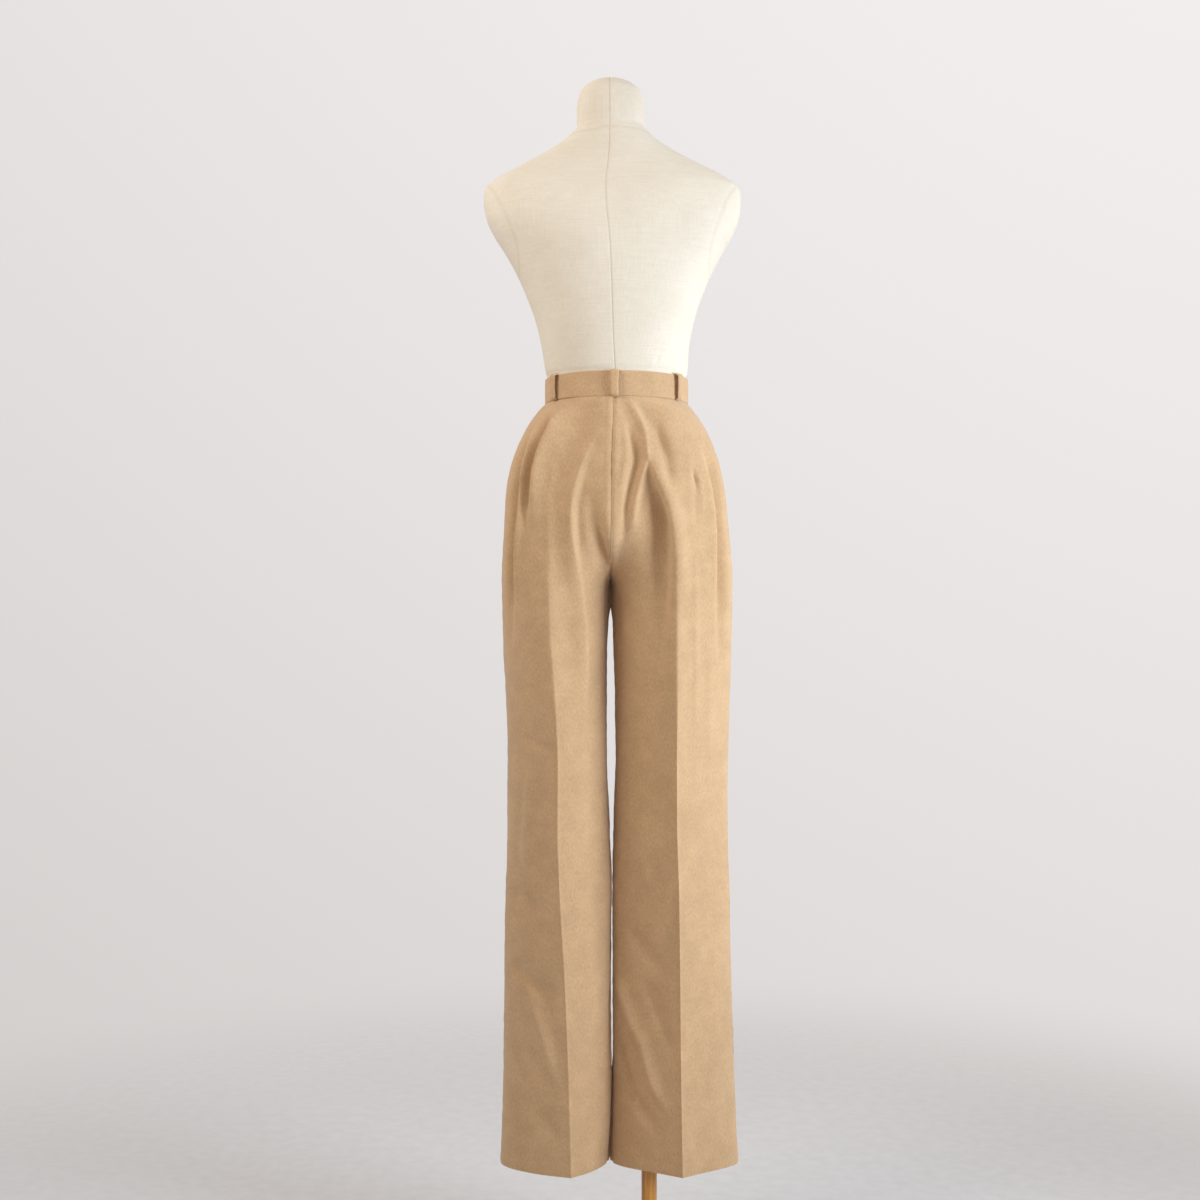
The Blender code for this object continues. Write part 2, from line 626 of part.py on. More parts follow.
def turned(name, profile, sides, finish):
    """A solid turned about the Z axis from (radius, height) pairs, from low to high."""
    rings = [
        [
            (radius * math.sin(math.tau * n / sides), radius * math.cos(math.tau * n / sides), z)
            for n in range(sides)
        ]
        for radius, z in profile
    ]
    mesh = stacked_rings(name, rings, (0, 0, profile[0][1]), (0, 0, profile[-1][1]))
    return add_object(name, mesh, finish, 0.0, 30.0)


def make_stand():
    collar_radius = 2.0 * POLE_RADIUS
    edge = 0.006
    base_top = BASE_HEIGHT + COLLAR_HEIGHT
    turned(
        "stand_base",
        (
            (BASE_RADIUS - 0.002, 0.0),
            (BASE_RADIUS, 0.002),
            (BASE_RADIUS, BASE_HEIGHT - edge),
            (BASE_RADIUS - 0.3 * edge, BASE_HEIGHT - 0.3 * edge),
            (BASE_RADIUS - edge, BASE_HEIGHT),
            (collar_radius + 0.006, BASE_HEIGHT),
            (collar_radius + 0.001, BASE_HEIGHT + 0.005),
            (collar_radius, BASE_HEIGHT + 0.010),
            (collar_radius, base_top - 0.005),
            (collar_radius - 0.004, base_top),
        ),
        40,
        "wood",
    )
    turned(
        "stand_pole",
        (
            (POLE_RADIUS, base_top + SEAM_GAP),
            (POLE_RADIUS, 0.5 * (base_top + FORM_BASE_Z)),
            (POLE_RADIUS, FORM_BASE_Z - SEAM_GAP),
        ),
        20,
        "wood",
    )


def waist_place(angle, out, z):
    """A point at a distance outside the form's waist, and the direction out of it."""
    half_width, half_depth = FORM_WAIST_HALF_WIDTH, FORM_WAIST_HALF_DEPTH
    s, c = math.sin(angle), math.cos(angle)
    way = Vector((s / half_width, c / half_depth, 0.0)).normalized()
    return Vector((half_width * s, half_depth * c, z)) + way * out, way


def waist_angle_step(angle, length):
    """The change of angle that moves a length along the waist."""
    s, c = math.sin(angle), math.cos(angle)
    speed = math.hypot(FORM_WAIST_HALF_WIDTH * c, FORM_WAIST_HALF_DEPTH * s)
    return length / speed


def make_waistband():
    """One strip round the waist. Its right end laps over its left end at the centre front."""
    first = -math.pi - waist_angle_step(math.pi, LAP_PAST_CENTRE)
    last = math.pi + waist_angle_step(math.pi, UNDERLAP)
    lap_end = -math.pi + waist_angle_step(math.pi, LAP_LEVEL)
    lap_down = -math.pi + waist_angle_step(math.pi, LAP_LEVEL + LAP_RAMP)
    steps = FORM_SIDES + 10
    outer, inner = [], []
    for share in (1.0, 0.5, 0.0):
        z = mix(BAND_BOTTOM_Z, WAIST_TOP_Z, share)
        outer_row, inner_row = [], []
        for n in range(steps + 1):
            angle = mix(first, last, n / steps)
            lap = (BAND_THICKNESS + SEAM_GAP) * (1.0 - step(lap_end, lap_down, angle))
            inner_row.append(waist_place(angle, BAND_CLEARANCE + lap, z)[0])
            outer_row.append(waist_place(angle, BAND_CLEARANCE + lap + BAND_THICKNESS, z)[0])
        outer.append(outer_row)
        inner.append(inner_row)
    add_object("waistband", shell_mesh("waistband", outer, inner, 1), "wool", sharp_degrees=40.0)


def make_button():
    """A plain round button on the lap, at the centre front."""
    z = 0.5 * (BAND_BOTTOM_Z + WAIST_TOP_Z)
    face = BAND_CLEARANCE + 2.0 * BAND_THICKNESS + 2.0 * SEAM_GAP
    front = -FORM_WAIST_HALF_DEPTH - face
    rim = 0.0006
    profile = (
        (BUTTON_RADIUS - rim, 0.0),
        (BUTTON_RADIUS, rim),
        (BUTTON_RADIUS, BUTTON_THICKNESS - rim),
        (BUTTON_RADIUS - rim, BUTTON_THICKNESS),
        (BUTTON_RADIUS - 4.0 * rim, BUTTON_THICKNESS - rim),
    )
    sides = 20
    rings = [
        [
            (
                radius * math.cos(math.tau * n / sides),
                front - out,
                z + radius * math.sin(math.tau * n / sides),
            )
            for n in range(sides)
        ]
        for radius, out in profile
    ]
    caps = (0.0, front, z), (0.0, front - BUTTON_THICKNESS + rim, z)
    mesh = stacked_rings("waist_button", rings, *caps)
    mesh.flip_normals()
    add_object("waist_button", mesh, "button", sharp_degrees=40.0)


def make_belt_loops():
    """Each loop is a strip that stands off the band and turns in to it at both ends."""
    band_face = BAND_CLEARANCE + BAND_THICKNESS + SEAM_GAP
    top, low = WAIST_TOP_Z - 0.0005, BAND_BOTTOM_Z + 0.0008
    stand = band_face + LOOP_STAND_OFF
    folded = stand + LOOP_TURN
    away = stand + LOOP_THICKNESS
    # Stations down a loop: height, and how far its inner and outer faces lie off the form
    stations = (
        (top, band_face, band_face + LOOP_THICKNESS),
        (top - LOOP_TURN, band_face, folded),
        (top - LOOP_TURN_LONG, stand, away),
        (mix(top, low, 1 / 3), stand, away),
        (mix(top, low, 2 / 3), stand, away),
        (low + LOOP_TURN_LONG, stand, away),
        (low + LOOP_TURN, band_face, folded),
        (low, band_face, band_face + LOOP_THICKNESS),
    )
    for name, degrees in LOOP_ANGLES.items():
        angle = math.radians(degrees)
        way = waist_place(angle, 0.0, 0.0)[1]
        edge = Vector((way.y, -way.x, 0.0)) * (LOOP_WIDTH / 2)
        outer, inner = [], []
        for z, near, far in stations:
            for grid, out in ((outer, far), (inner, near)):
                middle = waist_place(angle, out, z)[0]
                grid.append([middle - edge, middle, middle + edge])
        add_object(name, shell_mesh(name, outer, inner, 1), "wool", sharp_degrees=40.0)


def along_row(points, ways, length):
    """The place and outward direction at a length along a row of points."""
    for a, b, way_a, way_b in zip(points, points[1:], ways, ways[1:]):
        span = (b - a).length
        if length <= span:
            share = length / span
            return a.lerp(b, share), way_a.lerp(way_b, share).normalized()
        length -= span
    return points[-1], ways[-1]


def make_fly(grid, ways):
    """The strip over the zip, from the right front's own points, moved out."""
    outer, inner = [], []
    rows = [n for n, row in enumerate(grid) if row[0].z > PANEL_TOP_Z - FLY_LENGTH]
    foot = rows[-1]
    for n in rows:
        narrow = math.sqrt(max(0.0, 1.0 - (n / foot) ** 6))
        width = mix(FLY_FOOT_WIDTH, FLY_WIDTH, narrow)
        outer_row, inner_row = [], []
        for k in range(FLY_COLUMNS + 1):
            place, way = along_row(grid[n], ways[n], width * k / FLY_COLUMNS)
            inner_row.append(place + way * FLY_GAP)
            outer_row.append(place + way * (FLY_GAP + FLY_THICKNESS))
        outer.append(outer_row)
        inner.append(inner_row)
    add_object("fly", shell_mesh("fly", outer, inner, 1), "wool")


def make_panels():
    for side, sign in SIDES.items():
        grids = {face: panel_grid(side, face) for face in ("back", "front")}
        ways = {
            "back": grid_normals(grids["back"], sign),
            "front": grid_normals(grids["front"], -sign),
        }
        shared_edge_normals(ways["back"], ways["front"], sign)
        for face in ways:
            even_normals(ways[face])
        for face, grid in grids.items():
            inner = [
                [p - way * CLOTH for p, way in zip(row, line)]
                for row, line in zip(grid, ways[face])
            ]
            name = face + "_" + side
            turn = sign if face == "back" else -sign
            mesh = shell_mesh(name, grid, inner, turn)
            add_object(name, mesh, "wool")
        if side == "right":
            make_fly(grids["front"], ways["front"])


def main():
    for old in list(bpy.data.objects):
        bpy.data.objects.remove(old)
    make_form()
    make_stand()
    make_panels()
    make_waistband()
    make_button()
    make_belt_loops()


main()
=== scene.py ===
"""Camel wool trousers on a linen dress form: the finish of every surface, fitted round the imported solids.

Metres, +Z up. The garment's back faces +Y, which is the side that the camera sees, and the wearer's
left is +X. "Outwards" is the distance from the body's centre plane, which lies BODY_X left of the pole.
"""

import math

import bpy
import numpy as np
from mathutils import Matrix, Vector


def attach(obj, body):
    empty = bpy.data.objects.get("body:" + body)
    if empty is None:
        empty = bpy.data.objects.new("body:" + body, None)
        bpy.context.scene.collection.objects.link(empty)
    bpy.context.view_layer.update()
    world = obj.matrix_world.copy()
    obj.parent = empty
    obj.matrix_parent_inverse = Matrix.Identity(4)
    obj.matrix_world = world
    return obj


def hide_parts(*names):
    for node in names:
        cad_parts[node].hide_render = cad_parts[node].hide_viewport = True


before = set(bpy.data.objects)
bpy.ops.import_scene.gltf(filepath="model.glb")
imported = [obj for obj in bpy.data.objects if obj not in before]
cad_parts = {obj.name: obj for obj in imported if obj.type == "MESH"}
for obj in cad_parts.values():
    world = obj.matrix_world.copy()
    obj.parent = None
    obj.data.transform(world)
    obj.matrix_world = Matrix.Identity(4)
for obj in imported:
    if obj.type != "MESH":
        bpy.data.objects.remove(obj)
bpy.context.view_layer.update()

# Driving sizes, as in the solids
BODY_X = 0.048
WAIST_TOP_Z = 1.297
BAND_HEIGHT = 0.036
CROTCH_Z = 1.005
HEM_Z = 0.148
SEAM_GAP = 0.0003
BAND_BOTTOM_Z = WAIST_TOP_Z - BAND_HEIGHT
PANEL_TOP_Z = BAND_BOTTOM_Z - SEAM_GAP
FORM_WAIST_HALF_WIDTH = 0.1015
FORM_WAIST_HALF_DEPTH = 0.0825
FORM_BASE_Z = 1.058
FORM_TOP_Z = 1.7380
POLE_RADIUS = 0.0113
BASE_RADIUS = 0.150
BASE_HEIGHT = 0.024
COLLAR_HEIGHT = 0.030
BAND_THICKNESS = 0.003
BAND_CLEARANCE = 0.0005
LAP_PAST_CENTRE = 0.010
UNDERLAP = 0.026
LAP_LEVEL = 0.040
LAP_RAMP = 0.018
BUTTON_RADIUS = 0.0085
LOOP_STAND_OFF = 0.0055
LOOP_ANGLES = {
    "belt_loop_back": 2.0,
    "belt_loop_left_side": 57.0,
    "belt_loop_right_side": -56.0,
    "belt_loop_left_front": 138.0,
    "belt_loop_right_front": -138.0,
}
FLY_LENGTH = 0.165
FLY_WIDTH = 0.032
FLY_FOOT_WIDTH = 0.009
FLY_THICKNESS = 0.0012
FLY_GAP = 0.0005
SIDES = {"left": 1, "right": -1}

# Grid of each panel's solid, and how many times finer the finished cloth is
ROWS_ABOVE_CROTCH = 22
ROWS_BELOW_CROTCH = 13
COLUMNS_PER_ARC = 9
FINER_ABOVE = 7
FINER_BELOW = 12
ARC_COLUMNS = 62
CREASE_WEAR_PASSES = 24

# Finish of the cloth's wall
CLOTH = 0.0018
HEM_DEPTH = 0.040
HEM_EXTRA = 0.0012
GROOVE_DEPTH = 0.0013
GROOVE_WIDTH = 0.0028
ALLOWANCE_WIDTH = 0.011
ALLOWANCE_LIFT = 0.00035
SEAM_HOLD = 0.006

# Level sections of each leg, outwards from the body's centre plane: the centre seam or inseam, the
# crease line at the back with its depth, the crease line at the front, the side seam, and how deep
# a valley the side seam lies in.
LEG_COLUMNS = (
    "z", "inner_x", "back_crease_x", "back_crease_y", "front_crease_x", "side_x", "valley",
)
LEG_ROWS = {
    "left": (
        (1.261, 0.0045, 0.0560, 0.0722, 0.056, 0.1045, 0.0),
        (1.247, 0.0050, 0.0615, 0.0755, 0.060, 0.1165, 0.2),
        (1.225, 0.0058, 0.0700, 0.0805, 0.066, 0.1290, 0.5),
        (1.194, 0.0070, 0.0800, 0.0870, 0.073, 0.1415, 0.8),
        (1.159, 0.0077, 0.0925, 0.0915, 0.078, 0.1518, 1.0),
        (1.124, 0.0082, 0.0960, 0.0960, 0.082, 0.1582, 1.0),
        (1.089, 0.0086, 0.0962, 0.0990, 0.085, 0.1605, 1.0),
        (1.036, 0.0090, 0.0960, 0.1005, 0.087, 0.1638, 0.9),
        (1.005, 0.0095, 0.0960, 0.1005, 0.088, 0.1656, 0.8),
        (0.965, 0.0110, 0.0957, 0.0990, 0.088, 0.1656, 0.7),
        (0.912, 0.0136, 0.0939, 0.0965, 0.087, 0.1650, 0.5),
        (0.824, 0.0140, 0.0875, 0.0920, 0.086, 0.1612, 0.2),
        (0.735, 0.0138, 0.0840, 0.0870, 0.085, 0.1598, 0.0),
        (0.647, 0.0104, 0.0845, 0.0825, 0.086, 0.1604, 0.0),
        (0.550, 0.0078, 0.0815, 0.0790, 0.088, 0.1624, 0.0),
        (0.436, 0.0078, 0.0750, 0.0755, 0.092, 0.1648, 0.0),
        (0.300, 0.0080, 0.0695, 0.0735, 0.098, 0.1658, 0.0),
        (0.200, 0.0100, 0.0668, 0.0725, 0.102, 0.1680, 0.0),
        (0.148, 0.0138, 0.0655, 0.0720, 0.105, 0.1706, 0.0),
    ),
    "right": (
        (1.261, -0.0045, 0.0500, 0.0751, 0.056, 0.1045, 0.0),
        (1.247, -0.0050, 0.0500, 0.0795, 0.060, 0.1145, 0.2),
        (1.225, -0.0058, 0.0500, 0.0860, 0.066, 0.1278, 0.3),
        (1.194, -0.0070, 0.0505, 0.0940, 0.073, 0.1405, 0.4),
        (1.159, -0.0077, 0.0540, 0.1015, 0.078, 0.1506, 0.5),
        (1.124, -0.0082, 0.0645, 0.1060, 0.082, 0.1570, 0.6),
        (1.089, -0.0086, 0.0755, 0.1075, 0.085, 0.1604, 0.6),
        (1.036, -0.0090, 0.0820, 0.1075, 0.087, 0.1650, 0.7),
        (1.005, -0.0095, 0.0836, 0.1065, 0.088, 0.1678, 0.7),
        (0.965, -0.0078, 0.0845, 0.1045, 0.088, 0.1684, 0.6),
        (0.912, -0.0048, 0.0846, 0.1010, 0.087, 0.1676, 0.5),
        (0.824, -0.0020, 0.0848, 0.0945, 0.085, 0.1654, 0.2),
        (0.735, -0.0012, 0.0846, 0.0880, 0.083, 0.1628, 0.0),
        (0.647, -0.0038, 0.0852, 0.0830, 0.081, 0.1636, 0.0),
        (0.550, -0.0062, 0.0880, 0.0790, 0.080, 0.1656, 0.0),
        (0.436, -0.0060, 0.0897, 0.0755, 0.079, 0.1684, 0.0),
        (0.300, -0.0058, 0.0912, 0.0735, 0.080, 0.1728, 0.0),
        (0.200, -0.0060, 0.0926, 0.0725, 0.082, 0.1764, 0.0),
        (0.148, -0.0066, 0.0936, 0.0720, 0.083, 0.1796, 0.0),
    ),
}

# Depth of the garment, back positive: centre seams, side seam and front crease line, and how
# sharply the creases are pressed, from 0 for a round turn to 1 for a straight-sided fold.
DEPTH_COLUMNS = ("z", "back_y", "side_y", "front_crease_y", "front_y", "pressed")
DEPTH_ROWS = (
    (1.261, 0.0855, 0.0000, -0.0725, -0.0855, 0.00),
    (1.230, 0.0950, 0.0020, -0.0845, -0.0940, 0.00),
    (1.194, 0.1030, 0.0040, -0.0960, -0.1000, 0.08),
    (1.159, 0.1080, 0.0050, -0.1045, -0.1040, 0.22),
    (1.124, 0.1095, 0.0050, -0.1095, -0.1065, 0.36),
    (1.089, 0.1085, 0.0050, -0.1110, -0.1075, 0.46),
    (1.036, 0.1060, 0.0040, -0.1105, -0.1075, 0.52),
    (0.950, 0.1040, 0.0020, -0.1045, -0.1070, 0.60),
    (0.824, 0.1020, 0.0000, -0.0940, -0.1050, 0.66),
    (0.647, 0.1000, 0.0000, -0.0840, -0.1000, 0.72),
    (0.440, 0.1000, 0.0000, -0.0765, -0.0950, 0.76),
    (0.148, 0.1000, 0.0000, -0.0730, -0.0950, 0.80),
)
PRESS_SHARE = {"back_left": 0.75, "back_right": 1.15, "front_left": 0.9, "front_right": 0.9}
BACK_FORK_RISE = 0.078
FRONT_FORK_RISE = 0.055
TURN_ABOVE = 0.110
TURN_BELOW = 0.170
TURN_SHARE = 0.30
SIDE_DROP = 0.045
RELAX_PASSES = 20
RELAX_REACH = 0.080
RELAX_FULL_SHARE = 0.4
RELAX_RATE = 0.6
CREASE_HANDLE = 0.36
SEAT_HANDLE = 0.36
ROUND_SEAM_HANDLE = 0.39
PRESSED_SEAM_HANDLE = 0.17
WAIST_BLEND = 0.022
VALLEY_BACK_SLOPE = 0.22
VALLEY_FRONT_SLOPE = 0.50

# How much squarer than its solid the back of each hip turns to the side: (height, extra handle)
HIP_SQUARE = (
    (1.261, 0.0), (1.225, 0.08), (1.17, 0.22), (1.05, 0.24), (0.96, 0.14), (0.84, 0.0),
    (0.148, 0.0),
)

# Folds and creases of the cloth: height out of the cloth in mm, half width in mm on the side of the
# centre seam and on the side of the side seam, the shares of its run over which it rises and falls
# away, and its line as (outwards, z) points from its upper end.
FOLD_COLUMNS = ("lift", "near", "far", "rise", "fall", "line")
FOLD_ROWS = {
    "back_left": (
        # The long ridge from beside the centre seam down to the middle of the leg
        (12.5, 5.5, 18, 0.3, 0.4, ((0.02, 1.222), (0.0315, 1.205), (0.0442, 1.1752), (0.0522, 1.15),
            (0.06, 1.118), (0.0632, 1.095), (0.0638, 1.068), (0.0622, 1.04),
            (0.06, 1.018), (0.0545, 0.981), (0.049, 0.92), (0.047, 0.85),
            (0.05, 0.76))),
        (-6.5, 10, 10, 0.4, 0.4, ((0.04, 1.14), (0.034, 1.1), (0.029, 1.065), (0.022, 1.035),
            (0.016, 1.005))),
        (-2.4, 4, 4.5, 0.4, 0.4, ((0.028, 1.085), (0.025, 1.067), (0.0145, 1.032), (0.012, 1.018))),
        # The crease below the side loop: cloth that falls over itself
        (8.0, 11, 4.5, 0.2, 0.4, ((0.08, 1.25), (0.0945, 1.221), (0.1065, 1.196), (0.1155, 1.166),
            (0.119, 1.14), (0.1195, 1.105), (0.121, 1.07))),
        (-8.5, 4.5, 8, 0.2, 0.4, ((0.086, 1.247), (0.1005, 1.221), (0.1125, 1.196), (0.1215, 1.166),
            (0.1265, 1.136), (0.129, 1.1), (0.13, 1.05))),
        # Ridge and trough beside the side seam
        (7.0, 8, 4.5, 0.25, 0.45, ((0.117, 1.222), (0.126, 1.198), (0.1321, 1.171), (0.1345, 1.146),
            (0.1356, 1.118), (0.1378, 1.084), (0.1425, 1.056), (0.1458, 1.011),
            (0.147, 0.94))),
        (-10.5, 5.5, 9, 0.2, 0.45, ((0.12, 1.225), (0.1321, 1.19), (0.1414, 1.148), (0.1447, 1.114),
            (0.147, 1.079), (0.1494, 1.045), (0.1516, 0.976), (0.152, 0.88))),
        # Where the pressed crease starts
        (2.0, 4, 4.5, 0.5, 0.5, ((0.082, 1.154), (0.0895, 1.142), (0.0985, 1.126))),
        (-1.4, 4, 4, 0.5, 0.5, ((0.09, 1.158), (0.0975, 1.146), (0.106, 1.13))),
        (-1.3, 9, 10, 0.4, 0.4, ((0.104, 1.12), (0.105, 1.08), (0.106, 1.02))),
        # Wrinkles of the leg
        (-3.0, 6, 7, 0.3, 0.3, ((0.134, 0.778), (0.11, 0.764), (0.084, 0.762))),
        (3.4, 8, 9, 0.4, 0.4, ((0.128, 0.745), (0.127, 0.69), (0.131, 0.62), (0.128, 0.56))),
        (-4.0, 11, 11, 0.3, 0.3, ((0.156, 0.552), (0.132, 0.542), (0.106, 0.52))),
        (-6.0, 13, 10, 0.3, 0.3, ((0.158, 0.455), (0.138, 0.436), (0.112, 0.414), (0.094, 0.39))),
        (3.6, 10, 9, 0.3, 0.4, ((0.13, 0.42), (0.114, 0.366), (0.099, 0.32), (0.086, 0.264))),
        (-2.0, 9, 10, 0.4, 0.5, ((0.112, 0.43), (0.096, 0.38), (0.082, 0.33), (0.074, 0.286))),
        (-3.4, 12, 12, 0.5, 0.5, ((0.124, 0.25), (0.104, 0.226), (0.084, 0.2))),
        (-1.4, 8, 8, 0.4, 0.4, ((0.03, 0.86), (0.05, 0.81), (0.064, 0.745))),
        (1.4, 8, 10, 0.4, 0.4, ((0.022, 0.56), (0.04, 0.5), (0.05, 0.43))),
        (-1.6, 10, 10, 0.4, 0.4, ((0.02, 0.33), (0.036, 0.28), (0.046, 0.215))),
    ),
    "back_right": (
        # The ridge right of the centre seam, which forks into two arms
        (7.4, 8, 7, 0.3, 0.2, ((0.008, 1.262), (0.0175, 1.25), (0.0301, 1.228), (0.0392, 1.205),
            (0.0425, 1.178), (0.043, 1.16))),
        (6.0, 6.5, 6, 0.25, 0.45, ((0.045, 1.185), (0.0374, 1.155), (0.0305, 1.132), (0.0249, 1.109),
            (0.0225, 1.086), (0.02, 1.06))),
        (9.0, 7.0, 18, 0.2, 0.45, ((0.0415, 1.19), (0.048, 1.17), (0.0565, 1.146), (0.0675, 1.118),
            (0.0745, 1.099), (0.08, 1.068), (0.085, 1.011), (0.085, 0.95))),
        (-5.6, 6.0, 6.0, 0.3, 0.35, ((0.006, 1.245), (0.0214, 1.198), (0.0275, 1.172), (0.0191, 1.136),
            (0.0134, 1.102), (0.01, 1.068), (0.0031, 1.033))),
        (2.0, 5, 5.5, 0.3, 0.4, ((0.004, 1.24), (0.01, 1.216), (0.0122, 1.178), (0.004, 1.125),
            (-0.001, 1.095))),
        (-6.0, 8, 9, 0.35, 0.35, ((0.046, 1.24), (0.0534, 1.221), (0.0671, 1.178), (0.0741, 1.136),
            (0.079, 1.11))),
        # The pocket between the arms, which opens into the leg's inner face
        (-15.0, 21, 7, 0.3, 0.6, ((0.046, 1.158), (0.0525, 1.132), (0.0603, 1.106), (0.0655, 1.078),
            (0.0665, 1.045), (0.0655, 0.99), (0.063, 0.88))),
        # A short dart-like crease, and two faint lines above the pressed crease
        (-3.6, 3.0, 3.4, 0.4, 0.5, ((0.107, 1.163), (0.109, 1.152), (0.1125, 1.133), (0.114, 1.115))),
        (-0.9, 6, 6, 0.4, 0.5, ((0.111, 1.13), (0.112, 1.095), (0.111, 1.05))),
        (0.9, 4, 4, 0.4, 0.5, ((0.116, 1.16), (0.119, 1.13), (0.121, 1.09))),
        (1.0, 5, 5, 0.4, 0.5, ((0.096, 1.22), (0.102, 1.16), (0.104, 1.1), (0.103, 1.04))),
        # A soft trough beside the side seam, with a low ridge on its inner side
        (-12.0, 5.5, 12, 0.35, 0.45, ((0.104, 1.232), (0.12, 1.2), (0.1325, 1.165), (0.142, 1.125),
            (0.147, 1.08), (0.1485, 1.03), (0.148, 0.96), (0.147, 0.86))),
        (2.4, 10, 5.0, 0.4, 0.5, ((0.114, 1.2), (0.127, 1.165), (0.1365, 1.125), (0.141, 1.08),
            (0.1425, 1.03), (0.142, 0.93))),
        # Two soft upright ridges on the outer face of the leg
        (1.3, 5, 6, 0.4, 0.5, ((0.11, 1.11), (0.111, 1.000), (0.112, 0.85), (0.113, 0.7))),
        (1.1, 7, 6, 0.4, 0.5, ((0.134, 0.95), (0.134, 0.8), (0.133, 0.64))),
        # Wrinkles of the leg
        (6.4, 7.5, 10, 0.25, 0.25, ((-0.004, 0.445), (0.003, 0.412), (0.0193, 0.362), (0.0347, 0.333),
            (0.046, 0.292), (0.0595, 0.261), (0.08, 0.226))),
        (-5.5, 10, 10, 0.3, 0.3, ((0.036, 0.435), (0.056, 0.39), (0.0727, 0.35), (0.088, 0.31))),
        (-6.0, 9, 8, 0.3, 0.3, ((-0.001, 0.35), (0.008, 0.305), (0.0193, 0.2656), (0.0425, 0.232),
            (0.0685, 0.203))),
        (-3.6, 11, 11, 0.4, 0.4, ((0.012, 0.5), (0.04, 0.47), (0.074, 0.43))),
        (-1.8, 8, 8, 0.4, 0.4, ((0.012, 0.77), (0.034, 0.72), (0.058, 0.69))),
        (1.7, 10, 10, 0.4, 0.4, ((0.012, 0.64), (0.036, 0.59), (0.06, 0.52))),
        (-1.4, 12, 12, 0.4, 0.4, ((0.15, 0.52), (0.128, 0.45), (0.11, 0.4))),
        (1.4, 12, 12, 0.4, 0.4, ((0.155, 0.33), (0.135, 0.27), (0.118, 0.215))),
    ),
    "front_left": (
        # Soft fullness below the pleats, and the drag lines towards the fork
        (2.6, 10, 16, 0.3, 0.5, ((0.07, 1.175), (0.08, 1.11), (0.086, 1.02), (0.087, 0.93))),
        (-2.6, 9, 8, 0.3, 0.5, ((0.084, 1.19), (0.096, 1.13), (0.102, 1.06), (0.106, 0.96))),
        (2.4, 8, 12, 0.3, 0.5, ((0.1, 1.175), (0.112, 1.12), (0.12, 1.05), (0.124, 0.98))),
        (-3.0, 9, 8, 0.3, 0.5, ((0.044, 1.2), (0.054, 1.13), (0.06, 1.06), (0.064, 0.98))),
        (-2.4, 5, 6, 0.3, 0.4, ((0.05, 1.105), (0.036, 1.07), (0.021, 1.036))),
        (2.0, 6, 5, 0.3, 0.4, ((0.06, 1.09), (0.044, 1.05), (0.028, 1.015))),
        (-1.6, 7, 7, 0.3, 0.4, ((0.064, 1.045), (0.046, 1.005), (0.03, 0.965))),
        (5.0, 9, 12, 0.2, 0.4, ((0.011, 1.025), (0.012, 0.995), (0.014, 0.96), (0.018, 0.92))),
        (-4.4, 5, 5, 0.3, 0.5, ((0.118, 1.205), (0.136, 1.145), (0.145, 1.085), (0.15, 0.96))),
        (2.2, 5, 5, 0.3, 0.5, ((0.11, 1.19), (0.124, 1.13), (0.132, 1.07), (0.136, 1.000))),
        (-1.2, 7, 7, 0.3, 0.3, ((0.14, 0.79), (0.115, 0.768), (0.088, 0.762))),
        (1.6, 10, 10, 0.3, 0.4, ((0.03, 0.43), (0.048, 0.37), (0.066, 0.3), (0.08, 0.25))),
        (-1.8, 10, 10, 0.3, 0.4, ((0.026, 0.36), (0.044, 0.3), (0.062, 0.24))),
        (-1.5, 12, 12, 0.4, 0.4, ((0.15, 0.46), (0.13, 0.4), (0.116, 0.34))),
        (1.1, 9, 9, 0.4, 0.4, ((0.028, 0.69), (0.05, 0.65), (0.07, 0.59))),
        (5.6, 12, 16, 0.3, 0.02, ((0.012, 0.32), (0.014, 0.22), (0.017, 0.12))),
    ),
    "front_right": (
        (2.8, 10, 16, 0.3, 0.5, ((0.07, 1.17), (0.081, 1.1), (0.087, 1.01), (0.086, 0.91))),
        (-2.4, 9, 8, 0.3, 0.5, ((0.084, 1.195), (0.097, 1.125), (0.104, 1.05), (0.107, 0.97))),
        (2.2, 8, 12, 0.3, 0.5, ((0.1, 1.18), (0.113, 1.115), (0.122, 1.04), (0.125, 0.96))),
        (-3.0, 9, 8, 0.3, 0.5, ((0.044, 1.195), (0.055, 1.125), (0.061, 1.05), (0.064, 0.97))),
        (-2.4, 5, 6, 0.3, 0.4, ((0.042, 1.11), (0.024, 1.072), (0.008, 1.036))),
        (2.0, 6, 5, 0.3, 0.4, ((0.054, 1.085), (0.036, 1.046), (0.016, 1.01))),
        (-1.6, 7, 7, 0.3, 0.4, ((0.06, 1.03), (0.04, 0.99), (0.018, 0.955))),
        (5.0, 9, 12, 0.2, 0.4, ((-0.008, 1.025), (-0.007, 0.995), (-0.004, 0.96), (0.001, 0.92))),
        (-4.4, 5, 5, 0.3, 0.5, ((0.116, 1.21), (0.134, 1.15), (0.144, 1.09), (0.15, 0.97))),
        (2.2, 5, 5, 0.3, 0.5, ((0.108, 1.195), (0.122, 1.135), (0.131, 1.075), (0.136, 1.01))),
        (-1.2, 7, 7, 0.3, 0.3, ((0.142, 0.772), (0.112, 0.756), (0.084, 0.752))),
        (1.7, 10, 10, 0.3, 0.4, ((0.02, 0.47), (0.04, 0.4), (0.06, 0.33), (0.074, 0.27))),
        (-1.7, 10, 10, 0.3, 0.4, ((0.016, 0.38), (0.036, 0.31), (0.058, 0.25))),
        (-1.4, 12, 12, 0.4, 0.4, ((0.154, 0.43), (0.134, 0.36), (0.118, 0.3))),
